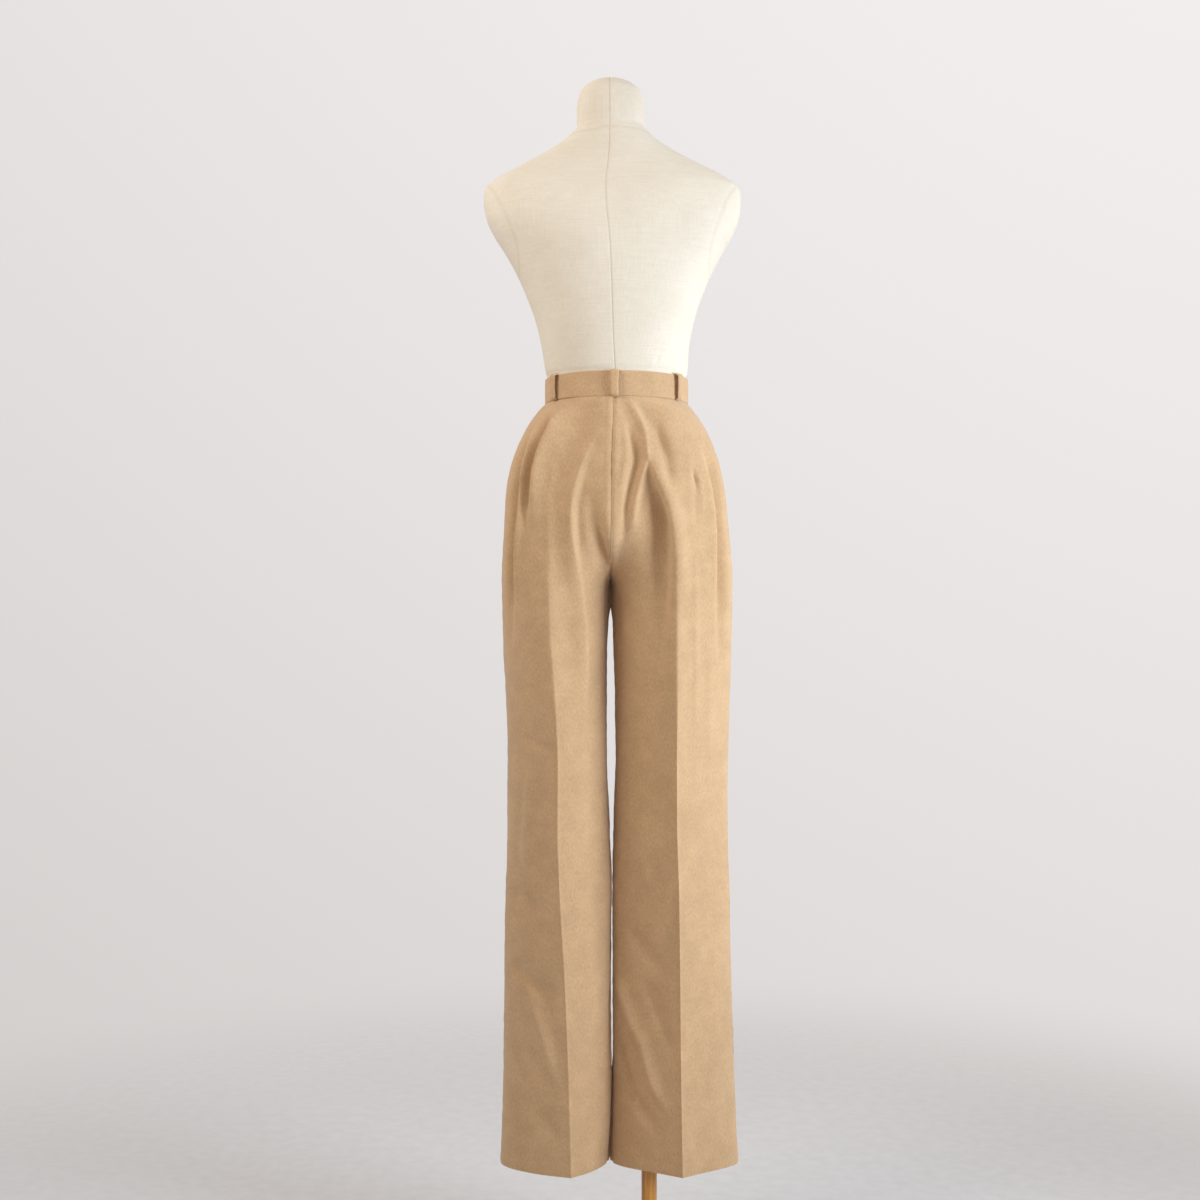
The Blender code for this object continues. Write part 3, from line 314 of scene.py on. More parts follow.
        (1.1, 9, 9, 0.4, 0.4, ((0.024, 0.66), (0.046, 0.62), (0.068, 0.56))),
        (5.6, 12, 16, 0.3, 0.02, ((-0.001, 0.32), (-0.001, 0.22), (-0.003, 0.12))),
    ),
}

# Pleats of each front: the share of the panel's width that the fold's edge runs down, the height of
# its edge in mm, the heights down to which it lies sharp and over which it then fades out
PLEAT_COLUMNS = ("share", "lift", "sharp_z", "end_z")
PLEAT_ROWS = {
    "front_left": ((0.500, 3.2, 1.205, 1.075), (0.690, 2.9, 1.215, 1.110)),
    "front_right": ((0.500, 3.2, 1.200, 1.070), (0.690, 2.9, 1.218, 1.115)),
}

# The form, as level sections: height, half width, depth behind and before its centre line, how
# far the centre leans towards the wearer's left, and squareness
FORM_ROWS = (
    (1.058, 0.118, 0.079, 0.073, 0.0, 2.0),
    (1.061, 0.125, 0.085, 0.079, 0.0, 2.0),
    (1.075, 0.131, 0.091, 0.084, 0.0, 2.0),
    (1.110, 0.135, 0.095, 0.088, 0.0, 2.0),
    (1.145, 0.132, 0.095, 0.089, 0.0, 2.0),
    (1.180, 0.124, 0.092, 0.088, 0.0, 2.0),
    (1.215, 0.113, 0.088, 0.0855, 0.0, 2.0),
    (1.240, 0.1055, 0.0850, 0.0838, 0.0, 2.0),
    (1.258, FORM_WAIST_HALF_WIDTH, FORM_WAIST_HALF_DEPTH, FORM_WAIST_HALF_DEPTH, 0.0, 2.0),
    (1.299, FORM_WAIST_HALF_WIDTH, FORM_WAIST_HALF_DEPTH, FORM_WAIST_HALF_DEPTH, 0.0, 2.0),
    (1.306, 0.1035, 0.0842, 0.0848, 0.0002, 2.0),
    (1.346, 0.1085, 0.0900, 0.0945, 0.0020, 2.05),
    (1.386, 0.1175, 0.0955, 0.1055, 0.0026, 2.1),
    (1.4165, 0.1280, 0.0990, 0.1130, 0.0032, 2.1),
    (1.452, 0.1430, 0.1015, 0.1185, 0.0036, 2.15),
    (1.484, 0.1600, 0.1020, 0.1180, 0.0042, 2.2),
    (1.510, 0.1755, 0.0990, 0.1110, 0.0050, 2.3),
    (1.532, 0.1850, 0.0940, 0.1020, 0.0058, 2.35),
    (1.556, 0.1885, 0.0870, 0.0910, 0.0064, 2.35),
    (1.574, 0.1870, 0.0800, 0.0810, 0.0066, 2.3),
    (1.586, 0.1760, 0.0745, 0.0750, 0.0068, 2.2),
    (1.598, 0.1560, 0.0700, 0.0700, 0.0070, 2.1),
    (1.612, 0.1290, 0.0645, 0.0645, 0.0073, 2.05),
    (1.629, 0.0970, 0.0585, 0.0580, 0.0077, 2.0),
    (1.646, 0.0710, 0.0530, 0.0520, 0.0081, 2.0),
    (1.658, 0.0580, 0.0495, 0.0490, 0.0084, 2.0),
    (1.668, 0.0500, 0.0470, 0.0470, 0.0086, 2.0),
    (1.694, 0.0493, 0.0465, 0.0465, 0.0088, 2.0),
    (1.716, 0.0455, 0.0440, 0.0440, 0.0088, 2.0),
    (1.7275, 0.0360, 0.0355, 0.0355, 0.0088, 2.0),
    (1.7350, 0.0205, 0.0200, 0.0200, 0.0088, 2.0),
)


# Small tools

def step(low, high, value):
    """0 at low and 1 at high, with a smooth turn at both."""
    share = np.clip((value - low) / (high - low), 0.0, 1.0)
    return share * share * (3.0 - 2.0 * share)


def mix(a, b, share):
    return a + (b - a) * share


def bell(distance, width):
    return np.exp(-((distance / width) ** 2))


def through(knots, at):
    """A smooth curve through (place, value) pairs, which never overshoots a value."""
    places, values = np.array(sorted(knots), dtype=float).T
    at = np.clip(at, places[0], places[-1])
    slopes = np.diff(values) / np.diff(places)
    before, after = slopes[:-1], slopes[1:]
    same_way = before * after > 0.0
    total = np.where(same_way, before + after, 1.0)
    inner = np.where(same_way, 2.0 * before * after / total, 0.0)
    tangents = np.concatenate(([slopes[0]], inner, [slopes[-1]]))
    i = np.clip(np.searchsorted(places, at, side="right") - 1, 0, len(slopes) - 1)
    span = places[i + 1] - places[i]
    s = (at - places[i]) / span
    rise = values[i + 1] - values[i]
    start, end = tangents[i] * span, tangents[i + 1] * span
    return values[i] + s * (start + s * ((3 * rise - 2 * start - end) + s * (start + end - 2 * rise)))


def read(columns, rows, name, z):
    """The value of a table's column at height z."""
    index = columns.index(name)
    return through([(row[0], row[index]) for row in rows], z)


def spline(values, places):
    """Values along the first axis at in-between places, on a Catmull-Rom spline."""
    last = len(values) - 1
    i = np.clip(places.astype(int), 0, last - 1)
    t = (places - i).reshape((-1,) + (1,) * (values.ndim - 1))
    a, b, c, d = (values[np.clip(i + k, 0, last)] for k in (-1, 0, 1, 2))
    return b + 0.5 * t * (c - a + t * (2 * a - 5 * b + 4 * c - d + t * (3 * (b - c) + d - a)))


def run_lengths(steps):
    """The length run at each point, from the lengths between points."""
    return np.concatenate(([0.0], np.cumsum(steps)))


def unit(x, y):
    length = np.hypot(x, y)
    return x / length, y / length


def normalised(vectors):
    return vectors / np.maximum(np.linalg.norm(vectors, axis=-1, keepdims=True), 1e-12)


def waves(places, seed, length, count=7):
    """A smooth random field from -1 to 1 over places, an array of points, with waves about that long."""
    draw = np.random.default_rng(seed)
    total = np.zeros(places.shape[:-1])
    for _ in range(count):
        way = draw.normal(size=places.shape[-1])
        way /= np.linalg.norm(way)
        way = way * math.tau / (length * draw.uniform(0.7, 1.5))
        total += np.sin(places @ way + draw.uniform(0, math.tau))
    return total / math.sqrt(count)


# The panels' shape, as in the solids

def fork_y(column, rise, z):
    """Depth of a centre seam: its column's value, drawn in to 0 on a quarter ellipse at the crotch."""
    top = CROTCH_Z + rise
    depth = read(DEPTH_COLUMNS, DEPTH_ROWS, column, np.maximum(z, top))
    fall = np.clip((top - z) / rise, 0.0, 1.0)
    return depth * np.sqrt(1.0 - fall * fall)


def arc(start, start_turn, end, end_turn, share):
    """A point of a Bezier arc. Each turn is the handle's vector from its own end."""
    rest = 1.0 - share
    weights = (rest**3, 3 * rest * rest * share, 3 * rest * share * share, share**3)
    return [
        weights[0] * start[k]
        + weights[1] * (start[k] + start_turn[k])
        + weights[2] * (end[k] + end_turn[k])
        + weights[3] * end[k]
        for k in (0, 1)
    ]


def turn_share(rise, z, share):
    """How far a place has turned from the seat's shape, 0, to the leg's own tube, 1."""
    fall = np.clip((CROTCH_Z + rise - z) / rise, 0.0, 1.0)
    at_seam = 1.0 - np.sqrt(1.0 - fall * fall)
    beside = 1.0 - step(CROTCH_Z - TURN_BELOW, CROTCH_Z + TURN_ABOVE, z)
    return mix(at_seam, beside, step(0.0, TURN_SHARE, share))


def section(side, face, z, share):
    """Points of a panel's outer face: share 0 is the centre seam or inseam, 1 is the side seam."""
    def leg(name):
        return read(LEG_COLUMNS, LEG_ROWS[side], name, z)

    def depth(name):
        return read(DEPTH_COLUMNS, DEPTH_ROWS, name, z)

    way = 1.0 if face == "back" else -1.0
    inner_x = leg("inner_x") + SEAM_GAP / 2
    crease_y = leg("back_crease_y") if face == "back" else depth("front_crease_y")
    crease = (leg(face + "_crease_x"), crease_y)
    outer = (leg("side_x"), depth("side_y") + way * SEAM_GAP / 2)
    seat_inner = (inner_x, depth(face + "_y"))
    leg_inner = (inner_x, np.full_like(inner_x, way * SEAM_GAP / 2))
    pressed = np.minimum(1.0, PRESS_SHARE[face + "_" + side] * depth("pressed"))
    in_way = unit(crease[0] - leg_inner[0], crease[1] - leg_inner[1])
    out_way = unit(outer[0] - crease[0], outer[1] - crease[1])
    round_way = unit(in_way[0] + out_way[0], in_way[1] + out_way[1])
    inner_turn, outer_turn = (
        unit(mix(round_way[0], straight[0], pressed), mix(round_way[1], straight[1], pressed))
        for straight in (in_way, out_way)
    )
    seam_handle = mix(ROUND_SEAM_HANDLE, PRESSED_SEAM_HANDLE, pressed)
    inner_share = np.clip(share * 2.0, 0.0, 1.0)
    outer_share = np.clip(share * 2.0 - 1.0, 0.0, 1.0)
    arcs = []
    for start, leave, handle in ((seat_inner, (1.0, 0.0), SEAT_HANDLE), (leg_inner, (0.0, way), seam_handle)):
        run = np.hypot(start[0] - crease[0], start[1] - crease[1])
        leaving = (leave[0] * handle * run, leave[1] * handle * run)
        arriving = (-inner_turn[0] * CREASE_HANDLE * run, -inner_turn[1] * CREASE_HANDLE * run)
        arcs.append(arc(start, leaving, crease, arriving, inner_share))
    turned = turn_share(BACK_FORK_RISE if face == "back" else FRONT_FORK_RISE, z, share)
    run = np.hypot(crease[0] - outer[0], crease[1] - outer[1])
    slope = leg("valley") * (VALLEY_BACK_SLOPE if face == "back" else -VALLEY_FRONT_SLOPE)
    arrive = unit(-slope, np.full_like(slope, -way))
    leaving = (outer_turn[0] * CREASE_HANDLE * run, outer_turn[1] * CREASE_HANDLE * run)
    if face == "back":
        seam_handle = seam_handle + through(HIP_SQUARE, z)
    arriving = (-arrive[0] * seam_handle * run, -arrive[1] * seam_handle * run)
    outside = arc(crease, leaving, outer, arriving, outer_share)
    x, y = (
        np.where(share < 0.5, mix(arcs[0][k], arcs[1][k], turned), outside[k]) for k in (0, 1)
    )
    at_waist = step(PANEL_TOP_Z - WAIST_BLEND, PANEL_TOP_Z, z)
    half_width, half_depth = outer[0], seat_inner[1]
    ellipse_y = half_depth * np.sqrt(np.maximum(0.0, 1.0 - (x / half_width) ** 2))
    ellipse_y = ellipse_y + way * SEAM_GAP / 2
    return x, mix(y, ellipse_y, at_waist)


def fork_heights(face, steps):
    """Heights at even steps down a centre seam, from the waist to the crotch point."""
    column, rise = ("back_y", BACK_FORK_RISE) if face == "back" else ("front_y", FRONT_FORK_RISE)
    heights = CROTCH_Z + np.linspace(1.0, 0.0, 401) ** 2 * (PANEL_TOP_Z - CROTCH_Z)
    depths = fork_y(column, rise, heights)
    along = run_lengths(np.hypot(np.diff(heights), np.diff(depths)))
    return through(list(zip(along, heights)), np.linspace(0.0, along[-1], steps + 1))


def sheet_points(side, face, above, below, shares):
    """The panel's outer face without folds, as rows of points from the centre seam outwards."""
    side_z = CROTCH_Z - SIDE_DROP
    leg_share = np.linspace(0.0, 1.0, below + 1)[1:]
    seam = np.concatenate((fork_heights(face, above), mix(CROTCH_Z, HEM_Z, leg_share)))
    outside = np.concatenate((np.linspace(PANEL_TOP_Z, side_z, above + 1), mix(side_z, HEM_Z, leg_share)))
    z = mix(outside[:, None], seam[:, None], (1.0 - shares[None, :]) ** 2)
    x, y = section(side, face, z, np.broadcast_to(shares, z.shape))
    return np.stack((SIDES[side] * x, y, z), axis=-1)


def relax(points, passes, columns, reach, full_share, rate):
    """Evens out the cloth beside the crotch, with the seams and the crease held where they are."""
    for _ in range(passes):
        inside = points[1:-1, 1:columns]
        away = np.abs(inside[..., 2] - CROTCH_Z)
        near = 1.0 - step(full_share * reach, reach, away)
        around = (
            points[:-2, 1:columns] + points[2:, 1:columns]
            + points[1:-1, : columns - 1] + points[1:-1, 2 : columns + 1]
        ) / 4.0
        points[1:-1, 1:columns] = inside + (around - inside) * (rate * near)[..., None]
    return points


def fine_shares(face):
    """The shares of a panel's width at which its columns run, closer at its seams, crease and pleats."""
    place = np.linspace(0.0, 1.0, 801)
    close = bell(place, 0.03) + bell(place - 1.0, 0.03) + bell(place - 0.5, 0.03)
    if face == "front":
        close = close + 0.8 * bell(place - 0.5, 0.05) + 1.2 * bell(place - 0.69, 0.04)
    amount = run_lengths((0.55 + close)[1:])
    halves = []
    for low, high in ((0, 400), (400, 800)):
        part = (amount[low : high + 1] - amount[low]) / (amount[high] - amount[low])
        halves.append(np.interp(np.linspace(0.0, 1.0, ARC_COLUMNS + 1), part, place[low : high + 1]))
    return np.concatenate((halves[0], halves[1][1:]))


def fine_base(side, face):
    """The panel's outer face on the fine grid, relaxed as its solid is."""
    above, below, columns = ROWS_ABOVE_CROTCH, ROWS_BELOW_CROTCH, 2 * COLUMNS_PER_ARC
    coarse = sheet_points(side, face, above, below, np.linspace(0.0, 1.0, columns + 1))
    shift = relax(
        coarse.copy(), RELAX_PASSES, COLUMNS_PER_ARC, RELAX_REACH, RELAX_FULL_SHARE, RELAX_RATE
    ) - coarse
    shares = fine_shares(face)
    fine = sheet_points(side, face, above * FINER_ABOVE, below * FINER_BELOW, shares)
    rows = np.concatenate((
        np.arange(above * FINER_ABOVE + 1) / FINER_ABOVE,
        above + np.arange(1, below * FINER_BELOW + 1) / FINER_BELOW,
    ))
    inner = spline(shift[:, : COLUMNS_PER_ARC + 1], rows)
    places = shares[: ARC_COLUMNS + 1] * columns
    inner = spline(inner.transpose(1, 0, 2), places).transpose(1, 0, 2)
    fine[:, : inner.shape[1]] += inner
    fine = relax(fine, 60, ARC_COLUMNS, 1.2 * RELAX_REACH, RELAX_FULL_SHARE, RELAX_RATE)
    # Higher up the leg the pressed crease has worn soft.
    for _ in range(CREASE_WEAR_PASSES):
        inside = fine[:, 1:-1]
        near = bell(shares[1:-1] - 0.5, 0.045) * step(0.70, 0.98, inside[..., 2])
        fine[:, 1:-1] = inside + ((fine[:, :-2] + fine[:, 2:]) / 2.0 - inside) * (0.6 * near)[..., None]
    return fine, shares


def grid_ways(points, sign):
    """The outward direction at each point of a grid. sign tells which way its rows run."""
    ways = np.cross(np.gradient(points, axis=1), np.gradient(points, axis=0)) * sign
    ways[0, :, 2] = 0.0
    ways[-1, :, 2] = 0.0
    return normalised(ways)


def even(ways, passes):
    """Averages the directions inside a grid."""
    for _ in range(passes):
        around = ways[:-2, 1:-1] + ways[2:, 1:-1] + ways[1:-1, :-2] + ways[1:-1, 2:]
        ways[1:-1, 1:-1] = normalised(2.0 * ways[1:-1, 1:-1] + around)
    return ways


# The folds

def on_surface(points, outwards, line):
    """The points of a panel's grid nearest to a line of (outwards, z) pairs, at those pairs."""
    found = []
    for x, z in line:
        away = (outwards - x) ** 2 + (points[..., 2] - z) ** 2
        nearest = np.argsort(away, axis=None)[:4]
        weight = 1.0 / (away.ravel()[nearest] + 1e-9)
        place = (points.reshape(-1, 3)[nearest] * weight[:, None]).sum(axis=0) / weight.sum()
        found.append((place[0], place[1], z))
    return np.array(found)


def fold_height(fold, points, ways, across, outwards):
    """How far one fold lifts the cloth at each point of a panel's grid."""
    line = on_surface(points, outwards, fold["line"])
    fine = spline(line, np.linspace(0.0, len(line) - 1, 6 * len(line)))
    spans = np.diff(fine, axis=0)
    lengths = np.linalg.norm(spans, axis=1)
    starts = run_lengths(lengths)
    widest = 2.6 * max(fold["near"], fold["far"]) / 1000
    low, high = fine.min(axis=0) - widest, fine.max(axis=0) + widest
    close = ((points > low) & (points < high)).all(axis=-1)
    height = np.zeros(points.shape[:2])
    place, up, way = points[close], ways[close], across[close]
    best = np.full(len(place), 1e9)
    run, side, reach = np.zeros(len(place)), np.zeros(len(place)), np.zeros(len(place))
    for k, (span, length) in enumerate(zip(spans, lengths)):
        offset = place - fine[k]
        t = np.clip(offset @ span / length**2, 0.0, 1.0)
        offset = offset - t[:, None] * span
        distance = np.linalg.norm(offset, axis=1)
        nearer = distance < best
        best = np.where(nearer, distance, best)
        run = np.where(nearer, starts[k] + t * length, run)
        offset = offset - (offset * up).sum(axis=1, keepdims=True) * up
        reach = np.where(nearer, np.linalg.norm(offset, axis=1), reach)
        side = np.where(nearer, (offset * way).sum(axis=1), side)
    run /= starts[-1]
    width = np.where(side > 0.0, fold["far"], fold["near"]) / 1000
    ends = step(0.0, fold["rise"], run) * (1.0 - step(1.0 - fold["fall"], 1.0, run))
    height[close] = fold["lift"] / 1000 * ends * bell(reach, width)
    return height


def pleat_height(pleat, points, shares):
    """A pleat's lap: it rises slowly from the side, stands at its fold's edge and drops off sharply."""
    column = int(np.argmin(np.abs(shares - pleat["share"])))
    z = points[..., 2]
    along = seam_distance(points)[0]
    away = along - along[:, column : column + 1]
    soft = 1.0 - step(pleat["end_z"], pleat["sharp_z"], z)
    drop = 0.0016 + 0.016 * soft
    spread = 0.013 + 0.012 * soft
    before = step(0.0, 1.0, 1.0 + away / drop)
    after = bell(np.maximum(away, 0.0), spread)
    full = 1.0 - soft**1.5
    at_band = 1.0 - 0.6 * step(PANEL_TOP_Z - 0.010, PANEL_TOP_Z, z)
    return pleat["lift"] / 1000 * before * after * full * at_band


def seam_distance(points):
    """Length along each row from its first point, and from its last."""
    steps = np.linalg.norm(np.diff(points, axis=1), axis=2)
    along = np.concatenate((np.zeros((len(points), 1)), np.cumsum(steps, axis=1)), axis=1)
    return along, along[:, -1:] - along


def finished_panel(side, face):
    """The panel's outer face with its folds, seams and hem."""
    name = face + "_" + side
    sign = SIDES[side] if face == "back" else -SIDES[side]
    points, shares = fine_base(side, face)
    ways = grid_ways(points, sign)
    seam_rows = ROWS_ABOVE_CROTCH * FINER_ABOVE + 1
    ways[:seam_rows, 0, 0] = 0.0
    outwards, z = points[..., 0] * SIDES[side], points[..., 2]
    across = np.gradient(points, axis=1)
    lift = np.zeros_like(z)
    for row in FOLD_ROWS[name]:
        lift += fold_height(dict(zip(FOLD_COLUMNS, row)), points, ways, across, outwards)
    for row in PLEAT_ROWS.get(name, ()):
        lift += pleat_height(dict(zip(PLEAT_COLUMNS, row)), points, shares)
    from_inner, from_side = seam_distance(points)
    lift *= step(0.0, SEAM_HOLD, from_inner) * step(0.0, SEAM_HOLD, from_side)
    # Long shallow unevenness, which is nowhere in a straight line
    seed = 10 + sorted(FOLD_ROWS).index(name)
    stretched = points * (1.0, 1.0, 0.45)
    lift += 0.0007 * waves(stretched, seed, 0.075) * step(PANEL_TOP_Z, PANEL_TOP_Z - 0.05, z)
    lift += 0.00022 * waves(points, seed + 20, 0.022) * step(PANEL_TOP_Z, PANEL_TOP_Z - 0.05, z)
    # The pressed crease stands up as a narrow line, lower down the leg
    crease = points[:, ARC_COLUMNS]
    from_crease = np.linalg.norm(points - crease[:, None], axis=2)
    lift += 0.0006 * bell(from_crease, 0.0022) * (1.0 - step(0.80, 1.05, z))
    for distance in (from_inner, from_side):
        allowance = 1.0 - step(0.7 * ALLOWANCE_WIDTH, ALLOWANCE_WIDTH, distance)
        pucker = 0.00018 * np.sin(z * math.tau / 0.017 + 1.7 * np.sin(z * 61.0)) * bell(distance, 0.007)
        lift += ALLOWANCE_LIFT * allowance - GROOVE_DEPTH * bell(distance, GROOVE_WIDTH) + pucker
    hem = 1.0 - step(HEM_Z + HEM_DEPTH - 0.002, HEM_Z + HEM_DEPTH, z)
    hem_line = bell(z - HEM_Z - HEM_DEPTH, 0.0020)
    caught = 0.5 + 0.5 * np.sin(from_inner * math.tau / 0.009)
    lift += 0.0003 * hem - 0.0003 * hem_line * caught
    lift -= 0.0008 * bell(PANEL_TOP_Z - z, 0.0028)
    return points + ways * lift[..., None]


# Meshes

def shell_faces(rows, columns, turned):
    """Quads of a closed wall between two grids, the outer one first."""
    at = np.arange(rows * columns).reshape(rows, columns)
    quads = np.stack((at[:-1, :-1], at[1:, :-1], at[1:, 1:], at[:-1, 1:]), axis=-1).reshape(-1, 4)
    offset = rows * columns
    rim = np.concatenate((at[0, :], at[1:, -1], at[-1, -2::-1], at[-2:0:-1, 0]))
    follow = np.roll(rim, -1)
    sides = np.stack((rim, follow, follow + offset, rim + offset), axis=-1)
    faces = np.concatenate((quads, quads[:, ::-1] + offset, sides))
    return faces[:, ::-1] if turned else faces


def make_piece(name, points, faces, uv=None, nodes=(), slot="wool", finish=None, x=BODY_X, smooth=True):
    """A mesh piece that rides on the one body and stands for the solids named."""
    mesh = bpy.data.meshes.new(name)
    mesh.from_pydata(np.asarray(points).reshape(-1, 3).tolist(), [], [list(map(int, f)) for f in faces])
    mesh.update()
    if uv is not None:
        layer = mesh.uv_layers.new(name="cloth")
        corners = np.empty(len(mesh.loops), dtype=np.int32)
        mesh.loops.foreach_get("vertex_index", corners)
        layer.data.foreach_set("uv", np.asarray(uv, dtype=np.float32)[corners].ravel())
    if smooth:
        mesh.shade_smooth()
        mesh.set_sharp_from_angle(angle=math.radians(55.0))
    piece = bpy.data.objects.new(name, mesh)
    piece.location.x = x
    bpy.context.scene.collection.objects.link(piece)
    if finish is not None:
        mesh.materials.append(finish)
    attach(piece, "root")
    if nodes:
        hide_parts(*nodes)
    return piece


def shell(name, outer, inner, sign, uv, **rest):
    rows, columns = outer.shape[:2]
    points = np.concatenate((outer.reshape(-1, 3), inner.reshape(-1, 3)))
    both = np.concatenate((uv.reshape(-1, 2),) * 2)
    return make_piece(name, points, shell_faces(rows, columns, sign > 0), uv=both, **rest)


def cloth_uv(points):
    """Width and length along the cloth in metres."""
    across = seam_distance(points)[0]
    middle = points.shape[1] // 2
    across = across - across[:, middle : middle + 1]
    steps = np.linalg.norm(np.diff(points, axis=0), axis=2)
    down = np.concatenate((np.zeros((1, points.shape[1])), np.cumsum(steps, axis=0)))
    return np.stack((across, -down), axis=-1)


# Materials

class Graph:
    """The nodes of one material, with its Principled shader."""

    def __init__(self, name, **uniform):
        self.material = bpy.data.materials.new(name)
        self.material.use_nodes = True
        self.tree = self.material.node_tree
        self.shader = self.tree.nodes["Principled BSDF"]
        self.put(self.shader, {key.replace("_", " "): value for key, value in uniform.items()})

    def put(self, node, sockets):
        for key, value in sockets.items():
            if isinstance(value, bpy.types.NodeSocket):
                self.tree.links.new(value, node.inputs[key])
            else:
                node.inputs[key].default_value = value

    def add(self, kind, sockets=None, **settings):
        node = self.tree.nodes.new("ShaderNode" + kind)
        for key, value in settings.items():
            setattr(node, key, value)
        self.put(node, sockets or {})
        return node

    def math(self, operation, a, b=0.0):
        return self.add("Math", {0: a, 1: b}, operation=operation).outputs[0]

    def scaled(self, source, scale, turn=0.0):
        sockets = {"Vector": source, "Scale": scale, "Rotation": (0.0, 0.0, turn)}
        return self.add("Mapping", sockets).outputs[0]

    def noise(self, source, scale, detail=2.0, rough=0.5):
        sockets = {"Vector": source, "Scale": scale, "Detail": detail, "Roughness": rough}
        return self.add("TexNoise", sockets).outputs["Fac"]

    def ramp(self, value, *stops):
        """A colour ramp from (place, colour) stops."""
        node = self.add("ValToRGB", {"Fac": value})
        elements = node.color_ramp.elements
        while len(elements) < len(stops):
            elements.new(0.5)
        for element, (place, colour) in zip(elements, stops):
            element.position = place
            element.color = tuple(colour) + (1.0,)
        return node.outputs["Color"]

    def tint(self, a, b, share, blend="MIX"):
        node = self.add("Mix", data_type="RGBA", blend_type=blend)
        self.put(node, {0: share, 6: a, 7: b})
        return node.outputs[2]

    def bump(self, *layers):
        """Chained bumps from (height, metres) pairs."""
        normal = None
        for height, distance in layers:
            sockets = {"Height": height, "Distance": distance, "Strength": 1.0}
            if normal is not None:
                sockets["Normal"] = normal
            normal = self.add("Bump", sockets).outputs["Normal"]
        return normal


def wool_material():
    """Brushed camel flannel: a soft twill under a short nap, mottled by its mixed fibres."""
    g = Graph("camel_wool", Roughness=0.92, Sheen_Weight=0.25, Sheen_Roughness=0.55)
    g.put(g.shader, {"Sheen Tint": (1.0, 0.99, 0.96, 1.0), "Specular IOR Level": 0.22})
    cloth = g.add("UVMap", uv_map="cloth").outputs["UV"]
    body = g.add("TexCoord").outputs["Object"]
    fibres = g.noise(g.scaled(cloth, (1.0, 0.45, 1.0), 0.5), 900.0, 3.0, 0.65)
    flecks = g.noise(g.scaled(cloth, (1.0, 0.6, 1.0), -0.3), 330.0, 2.0, 0.6)
    clouds = g.noise(body, 38.0, 3.0, 0.55)
    broad = g.noise(body, 9.0, 2.0, 0.5)
    twill = g.add(
        "TexWave", {"Vector": g.scaled(cloth, (1.0, 1.0, 1.0), math.radians(38)), "Scale": 260.0,
                    "Distortion": 1.6, "Detail": 2.0, "Detail Scale": 2.0},
    ).outputs["Fac"]
    base = g.ramp(flecks, (0.30, (0.470, 0.295, 0.152)), (0.52, (0.512, 0.328, 0.174)),
                  (0.74, (0.554, 0.362, 0.198)))
    fine = g.ramp(fibres, (0.30, (0.84, 0.825, 0.80)), (0.72, (1.11, 1.105, 1.10)))
    colour = g.tint(base, fine, 0.5, "MULTIPLY")
    colour = g.tint(colour, g.ramp(clouds, (0.35, (0.94, 0.935, 0.93)), (0.65, (1.05, 1.05, 1.05))),
                    0.8, "MULTIPLY")
    colour = g.tint(colour, g.ramp(broad, (0.35, (0.975, 0.97, 0.96)), (0.65, (1.02, 1.02, 1.03))),
                    1.0, "MULTIPLY")
    g.put(g.shader, {
        "Base Color": colour,
        "Normal": g.bump((twill, 0.00008), (flecks, 0.00022), (fibres, 0.00022)),
        "Roughness": g.math("ADD", g.math("MULTIPLY", flecks, 0.12), 0.84),
    })
    return g.material


def linen_material():
    """Cream linen of the form, with slubs, and darker lines along its seams: partly the seams' own tone,
    partly painted shade in their grooves.
    """
    g = Graph("form_linen", Roughness=0.80, Sheen_Weight=0.08, Sheen_Roughness=0.5)
    g.put(g.shader, {"Specular IOR Level": 0.25})
    body = g.add("TexCoord").outputs["Object"]
    warp = g.noise(g.scaled(body, (1.0, 1.0, 0.03)), 700.0, 2.0, 0.6)
    weft = g.noise(g.scaled(body, (0.05, 0.05, 1.0)), 700.0, 2.0, 0.6)
    soft = g.noise(body, 14.0, 3.0, 0.5)
    threads = g.math("MULTIPLY", g.math("ADD", warp, weft), 0.5)
    colour = g.ramp(threads, (0.34, (0.645, 0.568, 0.455)), (0.66, (0.715, 0.645, 0.535)))
    colour = g.tint(colour, g.ramp(soft, (0.3, (0.965, 0.955, 0.935)), (0.7, (1.02, 1.02, 1.02))),
                    1.0, "MULTIPLY")
    # The seam mask darkens the linen along the seams: partly the seams' own tone, partly painted shade in
    # their grooves.
    seam = g.add("Attribute", attribute_name="seam").outputs["Fac"]
    colour = g.tint(colour, (0.50, 0.42, 0.28, 1.0), g.math("MULTIPLY", seam, 0.42))
    g.put(g.shader, {"Base Color": colour, "Normal": g.bump((warp, 0.00012), (weft, 0.00012))})
    return g.material


